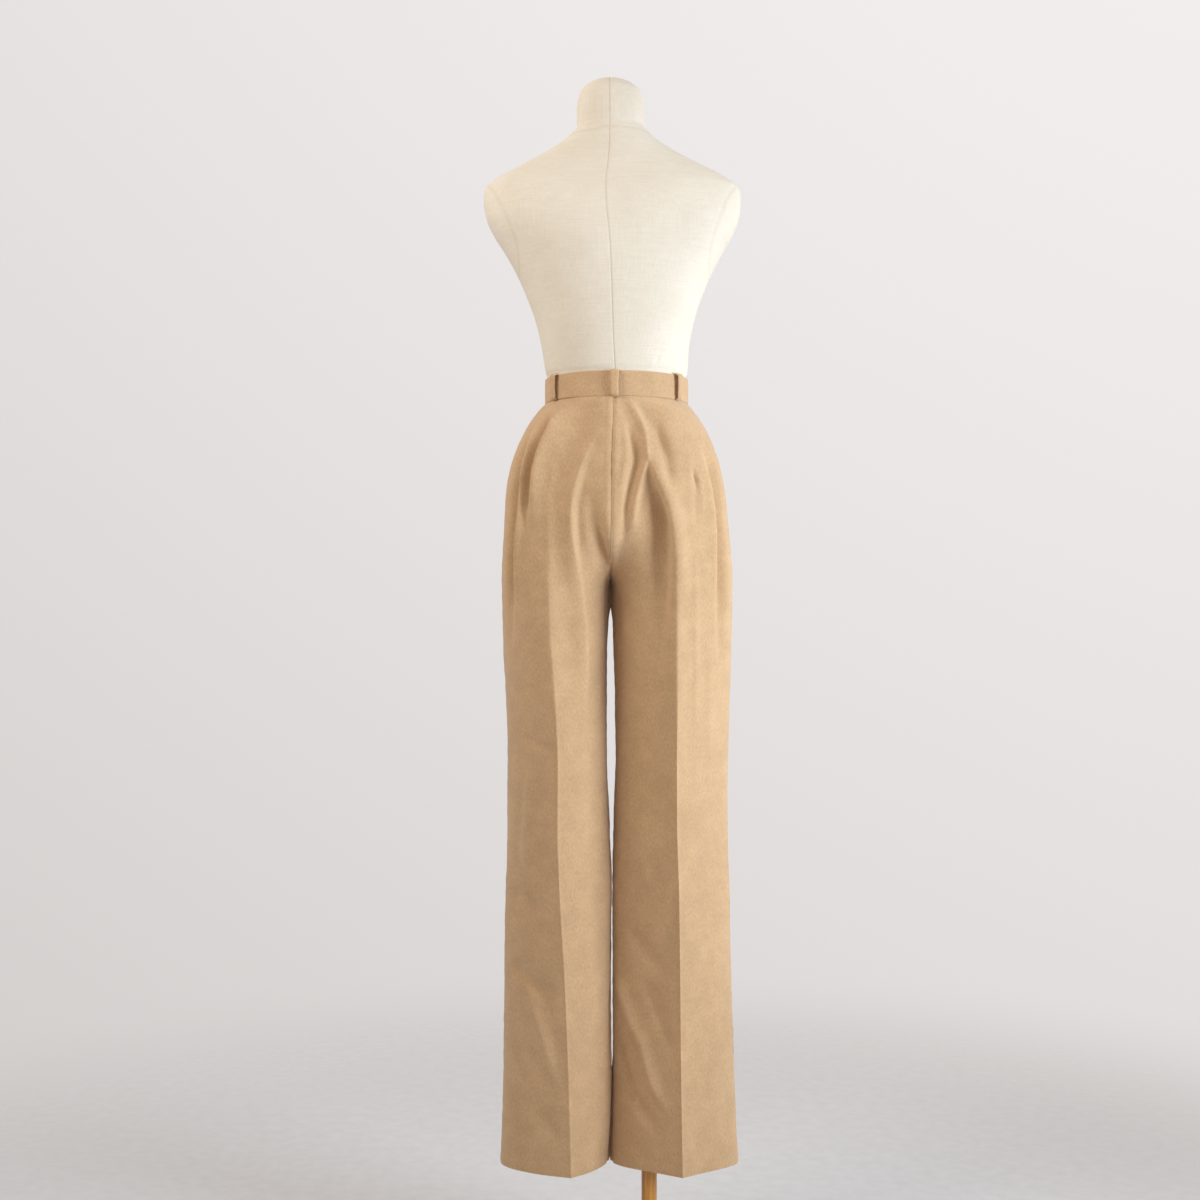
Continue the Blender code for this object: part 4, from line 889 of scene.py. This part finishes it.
def wood_material(name, along_z, tones, roughness):
    """Varnished wood with grain along the pole, or across the round base."""
    g = Graph(name, Roughness=roughness, Coat_Weight=0.35, Coat_Roughness=0.25)
    body = g.add("TexCoord").outputs["Object"]
    stretch = (1.0, 1.0, 0.05) if along_z else (0.06, 1.0, 1.0)
    grain = g.noise(g.scaled(body, stretch), 160.0, 5.0, 0.62)
    pores = g.noise(g.scaled(body, stretch), 900.0, 2.0, 0.7)
    wide = g.noise(g.scaled(body, stretch), 30.0, 3.0, 0.5)
    colour = g.ramp(grain, (0.32, tones[0]), (0.5, tones[1]), (0.68, tones[2]))
    colour = g.tint(colour, g.ramp(wide, (0.3, (0.85, 0.82, 0.78)), (0.7, (1.08, 1.08, 1.08))),
                    1.0, "MULTIPLY")
    colour = g.tint(colour, g.ramp(pores, (0.30, (0.62, 0.55, 0.48)), (0.42, (1.0, 1.0, 1.0))),
                    0.6, "MULTIPLY")
    g.put(g.shader, {
        "Base Color": colour,
        "Roughness": g.math("ADD", g.math("MULTIPLY", grain, 0.18), roughness - 0.09),
        "Normal": g.bump((pores, 0.00006), (grain, 0.00010)),
    })
    return g.material


def button_material():
    """Horn, streaked with brown."""
    g = Graph("horn_button", Roughness=0.30, Coat_Weight=0.3, Coat_Roughness=0.2)
    body = g.add("TexCoord").outputs["Object"]
    streaks = g.noise(g.scaled(body, (1.0, 1.0, 0.35), 0.4), 210.0, 4.0, 0.6)
    colour = g.ramp(streaks, (0.33, (0.10, 0.050, 0.022)), (0.5, (0.22, 0.120, 0.055)),
                    (0.68, (0.42, 0.270, 0.140)))
    fine = g.noise(body, 2500.0)
    g.put(g.shader, {"Base Color": colour, "Normal": g.bump((fine, 0.00001))})
    return g.material


def thread_material():
    """Sewing thread, a shade darker than the cloth."""
    g = Graph("camel_thread", Roughness=0.7, Sheen_Weight=0.2)
    body = g.add("TexCoord").outputs["Object"]
    twist = g.noise(body, 3000.0, 1.0)
    colour = g.ramp(twist, (0.35, (0.33, 0.205, 0.100)), (0.65, (0.47, 0.310, 0.165)))
    g.put(g.shader, {"Base Color": colour, "Normal": g.bump((twist, 0.00005))})
    return g.material


# Sewing

def stitches(name, runs, radius, finish, slot="wool"):
    """One joined mesh of short threads. A run is (points along the seam, outward directions)."""
    sides = 6
    points, faces = [], []
    for places, ways in runs:
        for a, b, way in zip(places[0::2], places[1::2], ways[0::2]):
            a, b, way = Vector(a), Vector(b), Vector(way)
            along = (b - a).normalized()
            across = way.cross(along).normalized()
            base = len(points)
            for share, size, height in ((0.0, 0.35, -0.4), (0.15, 0.95, 0.45), (0.5, 1.0, 0.7),
                                        (0.85, 0.95, 0.45), (1.0, 0.35, -0.4)):
                middle = a.lerp(b, share) + way * (height * radius)
                for k in range(sides):
                    turn = math.tau * k / sides
                    points.append(middle + (across * math.cos(turn) + way * math.sin(turn)) * (size * radius))
            for ring in range(4):
                for k in range(sides):
                    p, q = base + ring * sides + k, base + ring * sides + (k + 1) % sides
                    faces.append((p, q, q + sides, p + sides))
            faces.append([base + k for k in reversed(range(sides))])
            faces.append([base + 4 * sides + k for k in range(sides)])
    return make_piece(name, np.array([tuple(p) for p in points]), faces, finish=finish, slot=slot)


def thread_run(line, ways, length, gap):
    """Points at the two ends of each stitch along a line of points."""
    line, ways = np.asarray(line), np.asarray(ways)
    along = run_lengths(np.linalg.norm(np.diff(line, axis=0), axis=1))
    starts = np.arange(gap, along[-1] - length, length + gap)
    places = np.sort(np.concatenate((starts, starts + length)))
    at = [np.interp(places, along, line[:, k]) for k in range(3)]
    way = normalised(np.stack([np.interp(places, along, ways[:, k]) for k in range(3)], axis=1))
    return np.stack(at, axis=1), way


# The garment

def make_panels(wool):
    """The four panels. Returns the finished right front, which carries the fly."""
    kept = {}
    for side, sign in SIDES.items():
        outer = {face: finished_panel(side, face) for face in ("back", "front")}
        turn = {"back": sign, "front": -sign}
        ways = {face: even(grid_ways(outer[face], turn[face]), 14) for face in outer}
        shared = normalised(ways["back"][:, -1] + ways["front"][:, -1])
        crotch = ROWS_ABOVE_CROTCH * FINER_ABOVE
        inseam = normalised(ways["back"][crotch:, 0] + ways["front"][crotch:, 0])
        for face in outer:
            ways[face][:, -1] = shared
            ways[face][crotch:, 0] = inseam
            across = ways[face][: crotch + 1, 0]
            across[:, 0] = np.where(across[:, 0] * sign > 0.0, 0.0, across[:, 0])
            ways[face][: crotch + 1, 0] = normalised(across)
            name = face + "_" + side
            points = outer[face]
            z = points[..., 2]
            hem = 1.0 - step(HEM_Z + HEM_DEPTH - 0.002, HEM_Z + HEM_DEPTH, z)
            thick = CLOTH + HEM_EXTRA * hem * bell(z - HEM_Z, 10.0)
            inner = points - ways[face] * thick[..., None]
            # The edges are rolled: the wall is thinner at the hem's fold and under the waistband.
            for edge, roll in ((0, 0.25), (-1, 0.45)):
                middle = (points[edge] + inner[edge]) / 2
                points[edge] = mix(points[edge], middle, roll)
                inner[edge] = mix(inner[edge], middle, roll)
            points[0, :, 2] += SEAM_GAP
            piece = shell(
                name + "_cloth", points, inner, turn[face], cloth_uv(points), nodes=(name,), finish=wool
            )
            kept[name] = (piece, points, ways[face])
    return kept


def waist_place(angle, out, z):
    """Points at a distance outside the form's waist, and the direction out of it."""
    half_width, half_depth = FORM_WAIST_HALF_WIDTH, FORM_WAIST_HALF_DEPTH
    s, c = np.sin(angle), np.cos(angle)
    way = normalised(np.stack((s / half_width, c / half_depth, np.zeros_like(s)), axis=-1))
    flat = np.stack((half_width * s, half_depth * c, np.zeros_like(s)), axis=-1)
    place = flat + way * np.asarray(out)[..., None]
    place[..., 2] += z
    return place, way


def waist_angle_step(angle, length):
    """The change of angle that moves a length along the waist."""
    speed = math.hypot(FORM_WAIST_HALF_WIDTH * math.cos(angle), FORM_WAIST_HALF_DEPTH * math.sin(angle))
    return length / speed


def make_waistband(wool):
    first = -math.pi - waist_angle_step(math.pi, LAP_PAST_CENTRE)
    last = math.pi + waist_angle_step(math.pi, UNDERLAP)
    lap_end = -math.pi + waist_angle_step(math.pi, LAP_LEVEL)
    lap_down = -math.pi + waist_angle_step(math.pi, LAP_LEVEL + LAP_RAMP)
    angle = np.linspace(first, last, 421)
    rows = 25
    # Each face runs from the rolled top edge to the bottom edge.
    turn = np.linspace(0.0, 1.0, rows)
    roll = 0.0010
    rolled_top = roll * (1.0 - np.cos(turn / 0.2 * math.pi / 2))
    rolled_foot = BAND_HEIGHT - roll * (1.0 - np.cos((1.0 - turn) / 0.2 * math.pi / 2))
    level = mix(roll, BAND_HEIGHT - roll, (turn - 0.2) / 0.6)
    down = np.where(turn < 0.2, rolled_top, np.where(turn > 0.8, rolled_foot, level))
    half = BAND_THICKNESS / 2 * np.sqrt(np.clip(np.minimum(turn, 1.0 - turn) / 0.2, 0.02, 1.0))
    lap = (BAND_THICKNESS + SEAM_GAP) * (1.0 - step(lap_end, lap_down, angle))
    around = np.stack((np.cos(angle), np.sin(angle), 0.0 * angle), axis=-1)
    lift = 0.00055 * waves(around, 5, 0.55)[None, :] * step(0.0, 0.012, np.minimum(down, 0.012))[:, None]
    top_wave = 0.0004 * waves(around, 6, 0.8)[None, :] * (1.0 - step(0.0, 0.020, down))[:, None]
    dent = -0.0005 * bell(down - 0.0045, 0.0014)[:, None]
    middle = BAND_CLEARANCE + BAND_THICKNESS / 2 + lap[None, :]
    z = WAIST_TOP_Z - down[:, None] + top_wave
    angles = np.broadcast_to(angle, z.shape)
    outer = waist_place(angles, middle + half[:, None] + lift + dent * 0.35, z)[0]
    inner = waist_place(angles, middle - half[:, None], z)[0]
    along = np.cumsum(np.concatenate(([0.0], np.linalg.norm(np.diff(outer[rows // 2], axis=0), axis=1))))
    uv = np.stack(np.broadcast_arrays(along[None, :], -down[:, None]), axis=-1)
    return shell("waistband_cloth", outer, inner, 1, uv, nodes=("waistband",), finish=wool)


def make_loops(wool):
    """Each loop is a doubled strip, sewn down at both ends, that gapes from the band between them."""
    face = BAND_CLEARANCE + BAND_THICKNESS + SEAM_GAP
    top, low = WAIST_TOP_Z - 0.0002, BAND_BOTTOM_Z + 0.0006
    pieces = []
    for number, (name, degrees) in enumerate(LOOP_ANGLES.items()):
        angle = math.radians(degrees)
        share = np.linspace(0.0, 1.0, 41)
        gape = np.clip(np.minimum(share, 1.0 - share) / 0.15, 0.0, 1.0)
        out = face + LOOP_STAND_OFF * np.sqrt(1.0 - (1.0 - gape) ** 2)
        out = out - 0.0010 * step(0.5, 0.9, share) * step(0.0, 1.0, gape)
        z = mix(top, low, step(0.0, 1.0, share) * 0.35 + share * 0.65)
        half_width = mix(0.0062, 0.0052, share) + 0.0002 * np.sin(share * 9.0 + number)
        across = np.linspace(-1.0, 1.0, 15)
        crown = 0.0004 * (1.0 - across**2) - 0.0006 * np.abs(across) ** 6
        edge = np.sqrt(np.clip((1.0 - np.abs(across)) / 0.16, 0.05, 1.0))
        _, way = waist_place(np.array(angle), 0.0, 0.0)
        side = np.array((way[1], -way[0], 0.0))
        place = np.stack([waist_place(np.array(angle), o, h)[0] for o, h in zip(out, z)])
        tangent = normalised(np.gradient(place, axis=0))
        outward = normalised(np.cross(np.broadcast_to(side, tangent.shape), tangent))
        outward *= np.sign(np.sum(outward * way, axis=1, keepdims=True) + 1e-9)
        centre = place[:, None] + side * (across[None, :] * half_width[:, None])[..., None]
        middle = 0.00085
        far = centre + outward[:, None] * (middle + 0.00085 * edge + crown)[None, :, None]
        near = centre + outward[:, None] * (middle - 0.00085 * edge + crown * 0.3)[None, :, None]
        uv = np.stack(np.broadcast_arrays(across[None, :] * 0.006, -share[:, None] * 0.05), axis=-1)
        piece = shell(name + "_cloth", far[:, ::-1], near[:, ::-1], -1, uv, nodes=(name,), finish=wool)
        pieces.append(piece)
    return pieces


def along_rows(points, ways, lengths):
    """Places and directions at a length along each row of a grid."""
    along = seam_distance(points)[0]
    place = np.stack([
        [np.interp(length, along[n], points[n, :, k]) for k in range(3)] for n, length in enumerate(lengths)
    ])
    way = np.stack([
        [np.interp(length, along[n], ways[n, :, k]) for k in range(3)] for n, length in enumerate(lengths)
    ])
    return place, normalised(way)


def make_fly(kept, wool, thread):
    """The strip over the zip, from the right front's own points, with its row of J stitching."""
    _, points, ways = kept["front_right"]
    rows = int((points[:, 0, 2] > PANEL_TOP_Z - FLY_LENGTH).sum())
    foot = rows - 1
    narrow = np.sqrt(np.maximum(0.0, 1.0 - (np.arange(rows) / foot) ** 6))
    width = mix(FLY_FOOT_WIDTH, FLY_WIDTH, narrow)
    columns = 26
    across = np.linspace(0.0, 1.0, columns)
    grid = [along_rows(points[:rows], ways[:rows], width * share) for share in across]
    place = np.stack([g[0] for g in grid], axis=1)
    way = np.stack([g[1] for g in grid], axis=1)
    round_edge = np.sqrt(np.clip((1.0 - across) / 0.06, 0.08, 1.0))
    inner = place + way * FLY_GAP
    outer = place + way * (FLY_GAP + FLY_THICKNESS * round_edge)[None, :, None]
    piece = shell("fly_cloth", outer, inner, 1, cloth_uv(outer), nodes=("fly",), finish=wool)
    line, out = along_rows(points[:rows], ways[:rows], np.maximum(width - 0.004, 0.003))
    line = line + out * (FLY_GAP + FLY_THICKNESS)
    sewn = stitches("fly_stitching", [thread_run(line, out, 0.0026, 0.0008)], 0.00022, thread)
    return piece, sewn


def turned_points(profile, sides, squash=1.0):
    """Rings of points turned about the Z axis from (radius, height) pairs."""
    turn = np.arange(sides) * math.tau / sides
    return np.stack([
        np.stack((r * np.sin(turn), squash * r * np.cos(turn), np.full(sides, h)), axis=1) for r, h in profile
    ])


def ring_faces(count, sides):
    """Quads between rings, closed by fans round two last points."""
    faces = []
    for i in range(count - 1):
        for j in range(sides):
            k = (j + 1) % sides
            faces.append((i * sides + k, i * sides + j, (i + 1) * sides + j, (i + 1) * sides + k))
    low, high = count * sides, count * sides + 1
    top = (count - 1) * sides
    for j in range(sides):
        k = (j + 1) % sides
        faces.append((j, k, low))
        faces.append((top + k, top + j, high))
    return faces


def turned_piece(name, profile, sides, **rest):
    rings = turned_points(profile, sides)
    points = np.concatenate((rings.reshape(-1, 3), [(0, 0, profile[0][1]), (0, 0, profile[-1][1])]))
    return make_piece(name, points, ring_faces(len(profile), sides), **rest)


def make_button(horn, thread):
    """A four-hole button with a raised rim, and the thread crossed through its holes."""
    hole_radius, hole_place = 0.0009, 0.0021
    profile = [(0.0, 0.0), (0.0070, 0.0), (0.0080, 0.0004)]
    profile += [
        (BUTTON_RADIUS - 0.0009 + 0.0009 * math.sin(t), 0.0016 - 0.0010 * math.cos(t))
        for t in np.linspace(0.6, 2.8, 9)
    ]
    profile += [(0.0066, 0.0024), (0.0058, 0.0019), (0.0050, 0.0017), (0.0, 0.0017)]
    sides = 64
    rings = turned_points(profile[1:-1], sides)
    points = np.concatenate((rings.reshape(-1, 3), [(0, 0, profile[0][1]), (0, 0, profile[-1][1])]))
    z = 0.5 * (BAND_BOTTOM_Z + WAIST_TOP_Z)
    front = -FORM_WAIST_HALF_DEPTH - BAND_CLEARANCE - 2.0 * BAND_THICKNESS - 3.0 * SEAM_GAP
    upright = np.stack((points[:, 0], front - points[:, 2], z + points[:, 1]), axis=1)
    button = make_piece("button_horn", upright, ring_faces(len(profile) - 2, sides),
                        nodes=("waist_button",), slot="button", finish=horn)
    holes = [(sx * hole_place, sz * hole_place) for sx, sz in ((1, 1), (-1, 1), (-1, -1), (1, -1))]
    for number, (hx, hz) in enumerate(holes):
        ring = turned_points([(hole_radius, -0.004), (hole_radius, 0.004)], 20).reshape(-1, 3)
        ring = np.concatenate((ring, [(0, 0, -0.004), (0, 0, 0.004)]))
        place = np.stack((ring[:, 0] + hx, front - ring[:, 2], ring[:, 1] + z + hz), axis=1)
        cutter_mesh = bpy.data.meshes.new(f"hole_{number}")
        cutter_mesh.from_pydata(place.tolist(), [], ring_faces(2, 20))
        cutter = bpy.data.objects.new(f"hole_{number}", cutter_mesh)
        cutter.location.x = BODY_X
        bpy.context.scene.collection.objects.link(cutter)
        cut = button.modifiers.new(f"hole_{number}", "BOOLEAN")
        cut.object = cutter
        bpy.context.view_layer.update()
        with bpy.context.temp_override(object=button, active_object=button):
            bpy.ops.object.modifier_apply(modifier=cut.name)
        bpy.data.objects.remove(cutter)
    out = (0.0, -1.0, 0.0)
    face = front - 0.0017
    runs = []
    for a, b in ((0, 2), (1, 3)):
        ends = [(holes[k][0], face, z + holes[k][1]) for k in (a, b)]
        for shift in (-0.00022, 0.00022):
            moved = [(x + shift, y, h + (shift if a == 1 else -shift)) for x, y, h in ends]
            runs.append((moved, [out, out]))
    sewn = stitches("button_thread", runs, 0.00026, thread, slot="button")
    return button, sewn


# The form and its stand

def form_sections():
    """Fine sections of the form at even steps up its side."""
    table = np.array(FORM_ROWS)
    table = np.concatenate((table, [(FORM_TOP_Z, 0.0025, 0.0025, 0.0025, 0.0088, 2.0)]))
    along = run_lengths(np.hypot(np.diff(table[:, 0]), np.diff(table[:, 1])))
    steps = np.linspace(0.0, along[-1], 330)
    return np.stack([through(list(zip(along, column)), steps) for column in table.T], axis=1)


def form_angles():
    """Angles round a section, closer together beside the four upright seams."""
    seams = (0.032, math.pi / 2, math.pi, 3 * math.pi / 2)
    near = (-0.034, -0.022, -0.013, -0.007, -0.003, 0.0, 0.003, 0.007, 0.013, 0.022, 0.034)
    even_angles = [math.tau * n / 190 for n in range(190)]
    kept = [a for a in even_angles if all(abs(math.remainder(a - s, math.tau)) > 0.045 for s in seams)]
    return np.array(sorted([a % math.tau for s in seams for a in (s + n for n in near)] + kept))


def make_form(linen):
    sections, angles = form_sections(), form_angles()
    s, c = np.sin(angles)[None, :], np.cos(angles)[None, :]
    z, half_width, back, front, lean, square = (sections[:, k, None] for k in range(6))
    power = 2.0 / square
    x = half_width * np.sign(s) * np.abs(s) ** power
    y = np.where(c > 0.0, back, front) * np.sign(c) * np.abs(c) ** power
    points = np.stack((x + lean, y, np.broadcast_to(z, x.shape)), axis=-1)
    wrapped = np.concatenate((points[:, -1:], points, points[:, :1]), axis=1)
    ways = grid_ways(wrapped, -1)[:, 1:-1]
    ways *= np.sign(np.sum(ways * (points - (0, 0, 1)) * (1, 1, 0), axis=-1, keepdims=True) + 1e-9)
    # The seam mask cuts a shallow groove and also darkens the linen's colour: partly the seams' own tone,
    # partly painted shade in the grooves.
    seam = np.zeros_like(x)
    # Upright seams at the centre back, the sides and the centre front
    for at in (0.032, math.pi / 2, math.pi, 3 * math.pi / 2):
        turn = np.remainder(angles - at + math.pi, math.tau) - math.pi
        distance = np.abs(turn)[None, :] * np.maximum(half_width, 0.03)
        seam = np.maximum(seam, bell(distance, 0.0008) * np.ones_like(x))
    # The neck's seam, which dips towards the wearer's left
    neck = 1.6545 - 0.0035 * step(0.005, 0.035, x)
    seam = np.maximum(seam, 0.7 * bell(points[..., 2] - neck, 0.0014))
    # The seam round each arm plate, an oval on the shoulder's end
    oval = np.hypot(y / 0.060, (points[..., 2] - 1.512) / 0.070)
    seam = np.maximum(seam, np.where(np.abs(x) > 0.11, bell((oval - 1.0) * 0.062, 0.0018), 0.0) * 0.7)
    lift = -0.0007 * seam + 0.00025 * waves(points, 31, 0.12)
    # Two short drag lines above the waistband, on the wearer's right
    for number, (px, pz) in enumerate(((-0.0575, 1.314), (-0.0505, 1.310))):
        along = (x - px) * 0.45 + (points[..., 2] - pz) * -0.89
        off = (x - px) * 0.89 + (points[..., 2] - pz) * 0.45
        line = bell(along, 0.010) * bell(off, 0.0022) * (y > 0.0)
        lift += (-0.0010 if number == 0 else 0.0008) * line
    points = points + ways * lift[..., None]
    count, sides = points.shape[:2]
    flat = np.concatenate((points.reshape(-1, 3), [(0, 0, FORM_BASE_Z), (0.0088, 0, FORM_TOP_Z)]))
    form = make_piece("form_linen_body", flat, ring_faces(count, sides), nodes=("form_torso",),
                      slot="form_cloth", finish=linen)
    # The seam mask goes to the linen as an attribute that darkens its colour: partly the seams' own tone,
    # partly painted shade.
    tone = form.data.attributes.new("seam", "FLOAT", "POINT")
    tone.data.foreach_set("value", np.concatenate((seam.ravel(), (0.0, 0.0))).astype(np.float32))
    return form


def make_stand(pole_wood, base_wood):
    base_top = BASE_HEIGHT + COLLAR_HEIGHT
    pole = [(POLE_RADIUS - 0.0006, base_top + SEAM_GAP), (POLE_RADIUS, base_top + 0.001)]
    pole += [(POLE_RADIUS, h) for h in np.linspace(base_top + 0.01, FORM_BASE_Z - 0.01, 40)]
    pole += [(POLE_RADIUS, FORM_BASE_Z - 0.001), (POLE_RADIUS - 0.0006, FORM_BASE_Z - SEAM_GAP)]
    turned_piece("stand_pole_wood", pole, 64, nodes=("stand_pole",), slot="pole_wood",
                 finish=pole_wood, x=0.0)
    collar = 2.0 * POLE_RADIUS
    edge = 0.007
    base = [(0.02, 0.0), (BASE_RADIUS - 0.004, 0.0)]
    base += [
        (BASE_RADIUS - 0.002 + 0.002 * math.sin(t), 0.002 - 0.002 * math.cos(t))
        for t in np.linspace(0.3, math.pi / 2, 5)
    ]
    base += [
        (BASE_RADIUS - edge + edge * math.cos(t), BASE_HEIGHT - edge + edge * math.sin(t))
        for t in np.linspace(0.0, math.pi / 2, 12)
    ]
    base += [(r, BASE_HEIGHT) for r in np.linspace(BASE_RADIUS - edge - 0.006, collar + 0.012, 14)]
    base += [
        (collar + 0.007 - 0.007 * math.sin(t), BASE_HEIGHT + 0.007 - 0.007 * math.cos(t))
        for t in np.linspace(0.0, math.pi / 2, 9)
    ]
    base += [(collar, base_top - 0.012)]
    base += [
        (collar - 0.005 + 0.005 * math.cos(t), base_top - 0.005 + 0.005 * math.sin(t))
        for t in np.linspace(0.0, math.pi / 2, 9)
    ]
    turned_piece("stand_base_wood", base, 128, nodes=("stand_base",), slot="base_wood",
                 finish=base_wood, x=0.0)


# Floor, lights and camera

def make_stage():
    """A pale floor that fades into the pale surround."""
    size = 6.0
    mesh = bpy.data.meshes.new("floor")
    places = [(x * size, y * size, -0.0005) for y in (-1, 1) for x in (-1, 1)]
    mesh.from_pydata(places, [], [(0, 1, 3, 2)])
    floor = bpy.data.objects.new("floor", mesh)
    bpy.context.scene.collection.objects.link(floor)
    g = Graph("pale_floor", Roughness=0.9)
    body = g.add("TexCoord").outputs["Object"]
    distance = g.add("VectorMath", {0: body}, operation="LENGTH").outputs["Value"]
    fade = g.add("MapRange", {"Value": distance, "From Min": 0.5, "From Max": 2.2, "To Min": 1.0,
                              "To Max": 0.0}, interpolation_type="SMOOTHERSTEP").outputs["Result"]
    speckle = g.noise(body, 40.0, 3.0)
    g.put(g.shader, {
        "Base Color": g.ramp(speckle, (0.3, (0.60, 0.59, 0.58)), (0.7, (0.64, 0.63, 0.625))),
        "Alpha": fade,
    })
    mesh.materials.append(g.material)


def area_light(name, place, target, size, power, colour, spread):
    data = bpy.data.lights.new(name, "AREA")
    data.shape = "RECTANGLE"
    data.size, data.size_y = size
    data.energy = power
    data.color = colour
    data.spread = math.radians(spread)
    light = bpy.data.objects.new(name, data)
    light.location = place
    light.rotation_euler = (Vector(target) - Vector(place)).to_track_quat("-Z", "Y").to_euler()
    bpy.context.scene.collection.objects.link(light)


def make_lights():
    """Soft window light from the wearer's right, with a pale surround."""
    world = bpy.data.worlds.new("pale_surround")
    world.use_nodes = True
    tree = world.node_tree
    place = tree.nodes.new("ShaderNodeTexCoord")
    lean = tree.nodes.new("ShaderNodeVectorMath")
    lean.operation = "DOT_PRODUCT"
    lean.inputs[1].default_value = (-0.45, -0.50, 0.74)
    tree.links.new(place.outputs["Generated"], lean.inputs[0])
    fade = tree.nodes.new("ShaderNodeMapRange")
    fade.inputs["From Min"].default_value = -1.0
    fade.inputs["From Max"].default_value = 1.0
    tree.links.new(lean.outputs["Value"], fade.inputs["Value"])
    tone = tree.nodes.new("ShaderNodeMix")
    tone.data_type = "RGBA"
    tone.inputs[6].default_value = (0.315, 0.285, 0.265, 1.0)
    tone.inputs[7].default_value = (0.93, 0.90, 0.895, 1.0)
    tree.links.new(fade.outputs["Result"], tone.inputs[0])
    back = tree.nodes["Background"]
    back.inputs["Strength"].default_value = 1.0
    tree.links.new(tone.outputs[2], back.inputs["Color"])
    bpy.context.scene.world = world
    chest = (BODY_X, 0.0, 1.55)
    seat = (BODY_X, 0.0, 1.0)
    area_light("window", (-1.50, 0.85, 1.06), seat, (0.8, 1.0), 12.2, (0.86, 1.0, 1.15), 100.0)
    area_light("bounce", (1.5, 0.9, 2.05), chest, (1.0, 1.0), 8.8, (1.0, 0.97, 0.93), 110.0)


def make_camera():
    """Straight at the back, level, from 2.3 m."""
    data = bpy.data.cameras.new("camera")
    data.lens = 46.92
    data.sensor_width = 36.0
    data.shift_y = 0.0333
    camera = bpy.data.objects.new("camera", data)
    camera.location = (0.0723, 2.3, 0.915)
    camera.rotation_euler = (math.pi / 2, 0.0, math.pi)
    bpy.context.scene.collection.objects.link(camera)
    bpy.context.scene.camera = camera


def main():
    bpy.context.scene.view_settings.view_transform = "Standard"
    make_camera()
    make_lights()
    make_stage()
    wool, linen, thread = wool_material(), linen_material(), thread_material()
    kept = make_panels(wool)
    band = make_waistband(wool)
    for loop in make_loops(wool):
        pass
    fly, sewn = make_fly(kept, wool, thread)
    make_button(button_material(), thread)
    make_form(linen)
    pole_tones = ((0.42, 0.170, 0.022), (0.56, 0.260, 0.042), (0.66, 0.34, 0.065))
    base_tones = ((0.36, 0.16, 0.045), (0.48, 0.24, 0.075), (0.58, 0.32, 0.11))
    make_stand(
        wood_material("pole_wood", True, pole_tones, 0.42),
        wood_material("base_wood", False, base_tones, 0.42),
    )


main()
